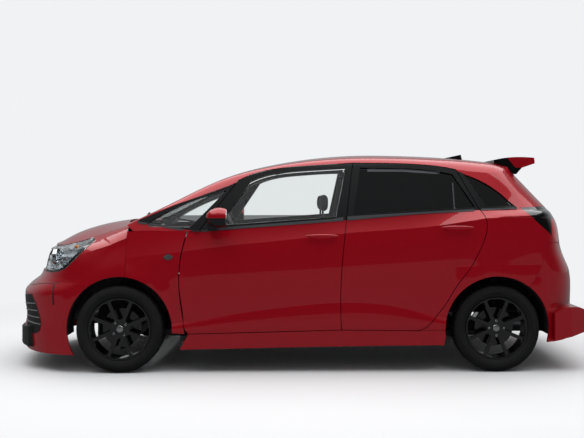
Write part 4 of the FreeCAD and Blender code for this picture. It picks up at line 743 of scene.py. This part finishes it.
nose_skin = skin_of("front_bumper")
wing_skin = skin_of("front_wings")
lamp_skin = skin_of("headlamps")
for side, place in SIDES:
    across_ray = Vector((0, -side, 0))
    round_ray = Vector((0.6, -0.8 * side, 0))
    rear_edge = on_skin(nose_skin, across_ray, (-1.815, 0, 0.510), (-1.776, 0, 0.452), (-1.744, 0, 0.366),
                        (-1.732, 0, 0.306), (-1.742, 0, 0.268), (-1.778, 0, 0.246))
    front_edge = on_skin(nose_skin, (1, 0, 0), (0, side * 0.455, 0.492), (0, side * 0.455, 0.440),
                         (0, side * 0.50, 0.330), (0, side * 0.53, 0.275), (0, side * 0.56, 0.240))
    dark = bmesh.new()
    draped(dark, front_edge, rear_edge, nose_skin, round_ray, 0.002, 24, 10)
    piece("corner_grille_" + place, dark, black_plastic, "body")
    bright = bmesh.new()
    for number in FIN_PLACES:
        first, second = resampled(front_edge, 100)[number - 4], resampled(rear_edge, 100)[number]
        drop = Vector((0, 0, 0.006))
        draped(bright, [first + drop, second + drop], [first - drop * 0.2, second - drop * 0.2], nose_skin, round_ray,
               0.006, 10, 1)
    piece("corner_fins_" + place, bright, silver, "body")
    slit = bmesh.new()
    draped(slit, at_side(side * 0.75, [(-1.641, 0.585), (-1.634, 0.452)]),
           at_side(side * 0.75, [(-1.630, 0.585), (-1.623, 0.452)]), nose_skin, across_ray, 0.0008, 12, 2)
    draped(slit, [(-1.90, side * 0.5, 0.560), (-1.75, side * 0.7, 0.590), (-1.634, side * 0.8, 0.599)],
           [(-1.90, side * 0.5, 0.556), (-1.75, side * 0.7, 0.586), (-1.634, side * 0.8, 0.595)], nose_skin, round_ray,
           0.0006, 30, 1)
    piece("bumper_slit_" + place, slit, black_plastic, "body")
    marker = bmesh.new()
    arc = [(MARKER_X + MARKER_LENGTH * step / 12, MARKER_RISE * math.sin(math.pi * step / 12)) for step in range(13)]
    draped(marker, at_side(side * 0.85, [(x, MARKER_Z + rise) for x, rise in arc]),
           at_side(side * 0.85, [(x, MARKER_Z - rise) for x, rise in arc]), wing_skin, across_ray, 0.005, 24, 6)
    piece("marker_lamp_" + place, marker, silver, "body")
    border = bmesh.new()
    draped(border, at_side(side * 0.7, LAMP_RISE), at_side(side * 0.7, LAMP_FOOT), lamp_skin, across_ray, 0.0006, 48, 3)
    piece("lamp_border_" + place, border, gloss_black, "body")
print("nose trims laid")

# %% [markdown]
# Black satin mouldings close the gap between glass and paint along the belt, on the doors and on the body ahead of
# and behind them. The rear door's glass carries two things of its own: a grey sunshade strip near its top, and the
# upright bar that divides the part that winds down from the small fixed corner.

# %% Belt mouldings
BELT_TOP = [(-1.00, 1.003), (-0.82, 0.973), (-0.690, 0.952), (-0.657, 0.949), (-0.426, 0.977), (0.227, 1.026),
            (0.349, 1.046), (0.803, 1.072), (1.078, 1.088), (1.236, 1.098)]
BELT_FOOT = [(-1.00, 0.991), (-0.82, 0.959), (-0.690, 0.942), (-0.657, 0.939), (-0.456, 0.957), (0.343, 1.018),
             (0.800, 1.059), (1.242, 1.085)]
FRONT_TOP, FRONT_FOOT = [(-1.07, 1.012), (-1.0, 1.001), (-0.76, 0.962)], [(-1.07, 1.000), (-1.0, 0.989), (-0.76, 0.950)]
REAR_TOP, REAR_FOOT = [(1.252, 1.099), (1.496, 1.106)], [(1.252, 1.086), (1.496, 1.096)]
SHADE_TOP, SHADE_FOOT = [(0.49, 1.373), (0.74, 1.371), (0.985, 1.352)], [(0.49, 1.352), (0.74, 1.351), (0.985, 1.334)]
DOOR_STRIPS = (("front", -0.70, 0.318), ("rear", 0.345, 1.205))
moulding = moulded("satin_belt_moulding", "#2A2C30", 0.35, depth=0.1)
shade_film = moulded("grey_sunshade_film", "#4A4D52", 0.5, depth=0.1)


def height_at(line, x):
    """Height of a line of (x, z) points at one station."""
    for (x0, z0), (x1, z1) in zip(line, line[1:]):
        if x <= x1:
            return z0 + (z1 - z0) * (x - x0) / (x1 - x0)
    return line[-1][1]


for side, place in SIDES:
    ray, out = (0, -side, 0), side * 0.8
    for door, start, stop in DOOR_STRIPS:
        strip = bmesh.new()
        stations = [start + (stop - start) * number / 12 for number in range(13)]
        draped(strip, at_side(out, [(x, height_at(BELT_TOP, x)) for x in stations]),
               at_side(out, [(x, height_at(BELT_FOOT, x)) for x in stations]),
               skin_of("door_%s_%s" % (door, place), "window_%s_%s" % (door, place)), ray, 0.004, 48, 3)
        piece("belt_moulding_%s_%s" % (door, place), strip, moulding, "door_%s_%s" % (door, place))
    strip = bmesh.new()
    side_skin = skin_of("body_side_" + place, "quarter_windows", "door_front_" + place, "door_rear_" + place)
    for top, foot in ((FRONT_TOP, FRONT_FOOT), (REAR_TOP, REAR_FOOT)):
        draped(strip, at_side(out, top), at_side(out, foot), side_skin, ray, 0.004, 24, 3)
    piece("belt_moulding_body_" + place, strip, moulding, "body")
    shade = bmesh.new()
    draped(shade, at_side(side * 0.7, SHADE_TOP), at_side(side * 0.7, SHADE_FOOT), skin_of("window_rear_" + place), ray,
           0.0006, 24, 2)
    piece("sunshade_strip_" + place, shade, shade_film, "door_rear_" + place)
    bar = bmesh.new()
    draped(bar, [(1.067, side * 0.75, 1.092), (1.067, side * 0.7, 1.275)],
           [(1.076, side * 0.75, 1.092), (1.076, side * 0.7, 1.275)],
           skin_of("window_rear_" + place, "door_rear_" + place), ray, 0.002, 24, 2)
    piece("window_divider_" + place, bar, moulding, "door_rear_" + place)
print("belt mouldings laid")

# %% [markdown]
# The number plates are blank: a white pressed sheet, 330 by 165 mm, on a black plinth that follows the panel behind.
# The wipers lie on the glass, so each blade is a narrow strip dropped onto it.

# %% Plates and wipers
PLATE_LENGTH, PLATE_HEIGHT, PLINTH_EDGE = 0.330, 0.165, (0.010, 0.0055)
PLATES = (("front", "front_bumper", (1, 0, 0), 0.535, "body"), ("rear", "tailgate", (-1, 0, 0), 0.80, "tailgate"))
WIPERS = (("wiper_long", (-1.10, 0.42), (-0.98, -0.22)), ("wiper_short", (-1.11, -0.16), (-1.02, -0.58)))
WIPER_THICK = 0.012
plate_paint = moulded("white_plate_paint", "#D9DADB", 0.4, grain_mm=2.0, depth=0.05)
for place, node, ray, z, body in PLATES:
    skin = skin_of(node)
    for name, half, rise, thick, finish, slot in (
            ("plate_plinth_", PLATE_LENGTH / 2 + PLINTH_EDGE[0], PLATE_HEIGHT / 2 + PLINTH_EDGE[1], 0.006,
             black_plastic, "black_plastic"),
            ("number_plate_", PLATE_LENGTH / 2, PLATE_HEIGHT / 2, 0.0085, plate_paint, "lamp_clear")):
        plate = bmesh.new()
        draped(plate, [(0, -half, z + rise), (0, half, z + rise)], [(0, -half, z - rise), (0, half, z - rise)], skin,
               ray, thick, 24, 8)
        piece(name + place, plate, finish, body)
screen_skin = skin_of("windscreen")
for name, foot, tip in WIPERS:
    blade = bmesh.new()
    draped(blade, [(x - 0.006, y, 1.2) for x, y in (foot, tip)], [(x + 0.006, y, 1.2) for x, y in (foot, tip)],
           screen_skin, (0, 0, -1), WIPER_THICK, 30, 2)
    piece(name, blade, black_plastic, "body")
blade = bmesh.new()
draped(blade, [(1.9, -0.02, 1.125), (1.9, 0.34, 1.135)], [(1.9, -0.02, 1.113), (1.9, 0.34, 1.123)],
       skin_of("tailgate_window"), (-1, 0, 0), WIPER_THICK, 24, 2)
piece("wiper_rear", blade, black_plastic, "tailgate")
print("plates and wipers laid")

# %% [markdown]
# Inboard of each rear wheel the arch is closed towards the cabin by a flat wall of felt liner. It is a slice of a
# disc, drawn as one flat face and pulled to a thickness of 3 mm.

# %% Inner arch walls
WALL_RADIUS, WALL_THICK, WALL_Y = 0.338, 0.003, 0.563
for side, place in SIDES:
    wall = bmesh.new()
    centre = Vector((REAR_AXLE, side * WALL_Y, AXLE_HEIGHT))
    rim_verts = [wall.verts.new(centre + WALL_RADIUS * Vector((math.cos(angle), 0, math.sin(angle))))
                 for angle in (math.radians(16 + 148 * step / 36) for step in range(37))]
    flat = wall.faces.new(rim_verts)
    grown = bmesh.ops.extrude_face_region(wall, geom=[flat], use_keep_orig=True)["geom"]
    grown = [item for item in grown if isinstance(item, bmesh.types.BMVert)]
    bmesh.ops.translate(wall, vec=(0, side * WALL_THICK, 0), verts=grown)
    piece("arch_wall_" + place, wall, liner_plastic, "body")
print("arch walls closed")

# %% [markdown]
# A car seat is foam under a sewn cloth cover. The foam pushes the cover out between its seams, so each pad starts as a
# rounded block that is a little too small, and a short cloth simulation with inner pressure blows it up. The side
# bolsters are pads of their own, and the seams are the grooves between the pads.


# %% Seat pads
COVER_GRID, COVER_PRESSURE, COVER_FRAMES, COVER_CAP, FOAM_SHARE = 0.011, 4, 18, 0.012, 0.8
SEAT_Y, BENCH_SECTIONS = 0.37, ((-0.545, -0.18), (-0.172, 0.172), (0.18, 0.545))


def settle(item):
    """Keep what the modifiers of a piece made, and remove them."""
    graph = bpy.context.evaluated_depsgraph_get()
    made = bpy.data.meshes.new_from_object(item.evaluated_get(graph))
    item.modifiers.clear()
    item.data = made


def remeshed(item, voxel):
    """Even grid of faces over a pad, fine enough for the cover to bulge."""
    change = item.modifiers.new("even_grid", "REMESH")
    change.mode = "VOXEL"
    change.voxel_size = voxel
    settle(item)


def blown(pads, frames, cap):
    """Blow the pads up together as cloth with inner pressure. No point moves further than the cap."""
    rest = {item.name: [vert.co.copy() for vert in item.data.vertices] for item in pads}
    for item in pads:
        cover = item.modifiers.new("cover", "CLOTH")
        cover.settings.use_pressure = True
        cover.settings.uniform_pressure_force = COVER_PRESSURE
        cover.settings.effector_weights.gravity = 0
        cover.point_cache.frame_end = frames
    for number in range(1, frames + 1):
        bpy.context.scene.frame_set(number)
    for item in pads:
        settle(item)
        for vert, start in zip(item.data.vertices, rest[item.name]):
            moved = vert.co - start
            if moved.length > cap:
                vert.co = start + moved.normalized() * cap
    bpy.context.scene.frame_set(1)


def pad(name, blocks, bevel=0.03):
    """One padded piece of a seat, from rounded blocks side by side, one per sewn section."""
    shape = bmesh.new()
    for low, high in blocks:
        block(shape, low, high, bevel, 3)
    return piece(name, shape, seat_cloth, "body", sharp=180)


def sections(x, y, z, wide, bolster, gap=0.004):
    """Middle section and two bolsters across the car, between the given x and z bounds."""
    inner = wide / 2 - bolster
    return [((x[0], y - inner + gap, z[0]), (x[1], y + inner - gap, z[1])),
            ((x[0], y - wide / 2, z[0]), (x[1], y - inner, z[1] + 0.02)),
            ((x[0], y + inner, z[0]), (x[1], y + wide / 2, z[1] + 0.02))]


seats = []
for y, place in ((-SEAT_Y, "left"), (SEAT_Y, "right")):
    back = [((0.135, low_y, 0.42), (0.215, high_y, 0.98)) for low_y, high_y in
            ((y - 0.145, y + 0.145), (y - 0.235, y - 0.15), (y + 0.15, y + 0.235))]
    seats += [pad("seat_cushion_" + place, sections((-0.385, 0.11), y, (0.36, 0.465), 0.46, 0.09)),
              pad("seat_back_" + place, back),
              pad("head_restraint_" + place, [((0.165, y - 0.11, 1.075), (0.225, y + 0.11, 1.195))])]
seats += [pad("bench_cushion", [((0.665, low_y, 0.42), (1.14, high_y, 0.52)) for low_y, high_y in BENCH_SECTIONS]),
          pad("bench_back", [((1.175, low_y, 0.42), (1.265, high_y, 0.985)) for low_y, high_y in BENCH_SECTIONS])]
for item in seats:
    remeshed(item, COVER_GRID)
blown(seats, COVER_FRAMES, COVER_CAP)
for item in seats:
    smooth = item.modifiers.new("even_grid", "SMOOTH")
    smooth.iterations = 4
    settle(item)
    item.data.shade_smooth()
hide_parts("front_seats")
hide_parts("rear_seat")
print("seat pads:", len(seats))

# %% [markdown]
# Under the pads stand the parts that don't give: a plinth below each cushion, a shell behind each front backrest, and
# the two steel posts of each head restraint. They are hard, so plain bevelled blocks and spun rods are enough.

# %% Seat frames
seat_bases = bmesh.new()
for y in (-SEAT_Y, SEAT_Y):
    block(seat_bases, (-0.36, y - 0.2, 0.2455), (0.06, y + 0.2, 0.34), 0.02)
    block(seat_bases, (0.218, y - 0.2, 0.42), (0.236, y + 0.2, 0.95), 0.008)
    for step in (-0.06, 0.06):
        turned(seat_bases, [(0, 0.006), (0.16, 0.006)], (0.19, y + step, 0.95), 16, axis=(0, 0, 1))
block(seat_bases, (0.70, -0.5, 0.3155), (1.0, 0.5, 0.42), 0.02)
piece("seat_frames", seat_bases, dash_plastic, "body")
print("seat frames:", 2 * len(SIDES) + 1, "blocks")

# %% [markdown]
# The dashboard is one moulding across the car: a flat top that catches little light, a rounded brow, a recessed middle
# band and a knee panel. Its section is drawn once and pulled across the cabin. Three rounded blocks add the console
# between the seats, the stack above it and the hood over the dials.

# %% Dashboard
DASH_SECTION = [(-0.955, 0.66), (-0.955, 0.885), (-0.80, 0.897), (-0.66, 0.892), (-0.615, 0.875), (-0.605, 0.845),
                (-0.635, 0.80), (-0.64, 0.745), (-0.605, 0.72), (-0.60, 0.68), (-0.64, 0.60), (-0.72, 0.645),
                (-0.80, 0.66)]
DASH_HALF = 0.688
dash = bmesh.new()
end_face = dash.faces.new([dash.verts.new(spot) for spot in at_side(-DASH_HALF, DASH_SECTION)])
pulled = bmesh.ops.extrude_face_region(dash, geom=[end_face], use_keep_orig=True)["geom"]
pulled = [item for item in pulled if isinstance(item, bmesh.types.BMVert)]
bmesh.ops.translate(dash, vec=(0, 2 * DASH_HALF, 0), verts=pulled)
long_edges = [edge for edge in dash.edges if abs(edge.verts[0].co.y - edge.verts[1].co.y) > DASH_HALF]
bmesh.ops.bevel(dash, geom=long_edges, offset=0.012, affect="EDGES", segments=3, profile=0.5, material=-1)
block(dash, (-0.90, -0.088, 0.3155), (-0.24, 0.088, 0.56), 0.03, 4)
block(dash, (-0.80, -0.088, 0.54), (-0.61, 0.088, 0.70), 0.02, 3)
block(dash, (-0.73, 0.24, 0.862), (-0.615, 0.48, 0.899), 0.016, 4)
made = piece("dashboard_moulding", dash, dash_plastic, "body", sharp=45)
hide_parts("dashboard")
print("dashboard points:", len(DASH_SECTION))
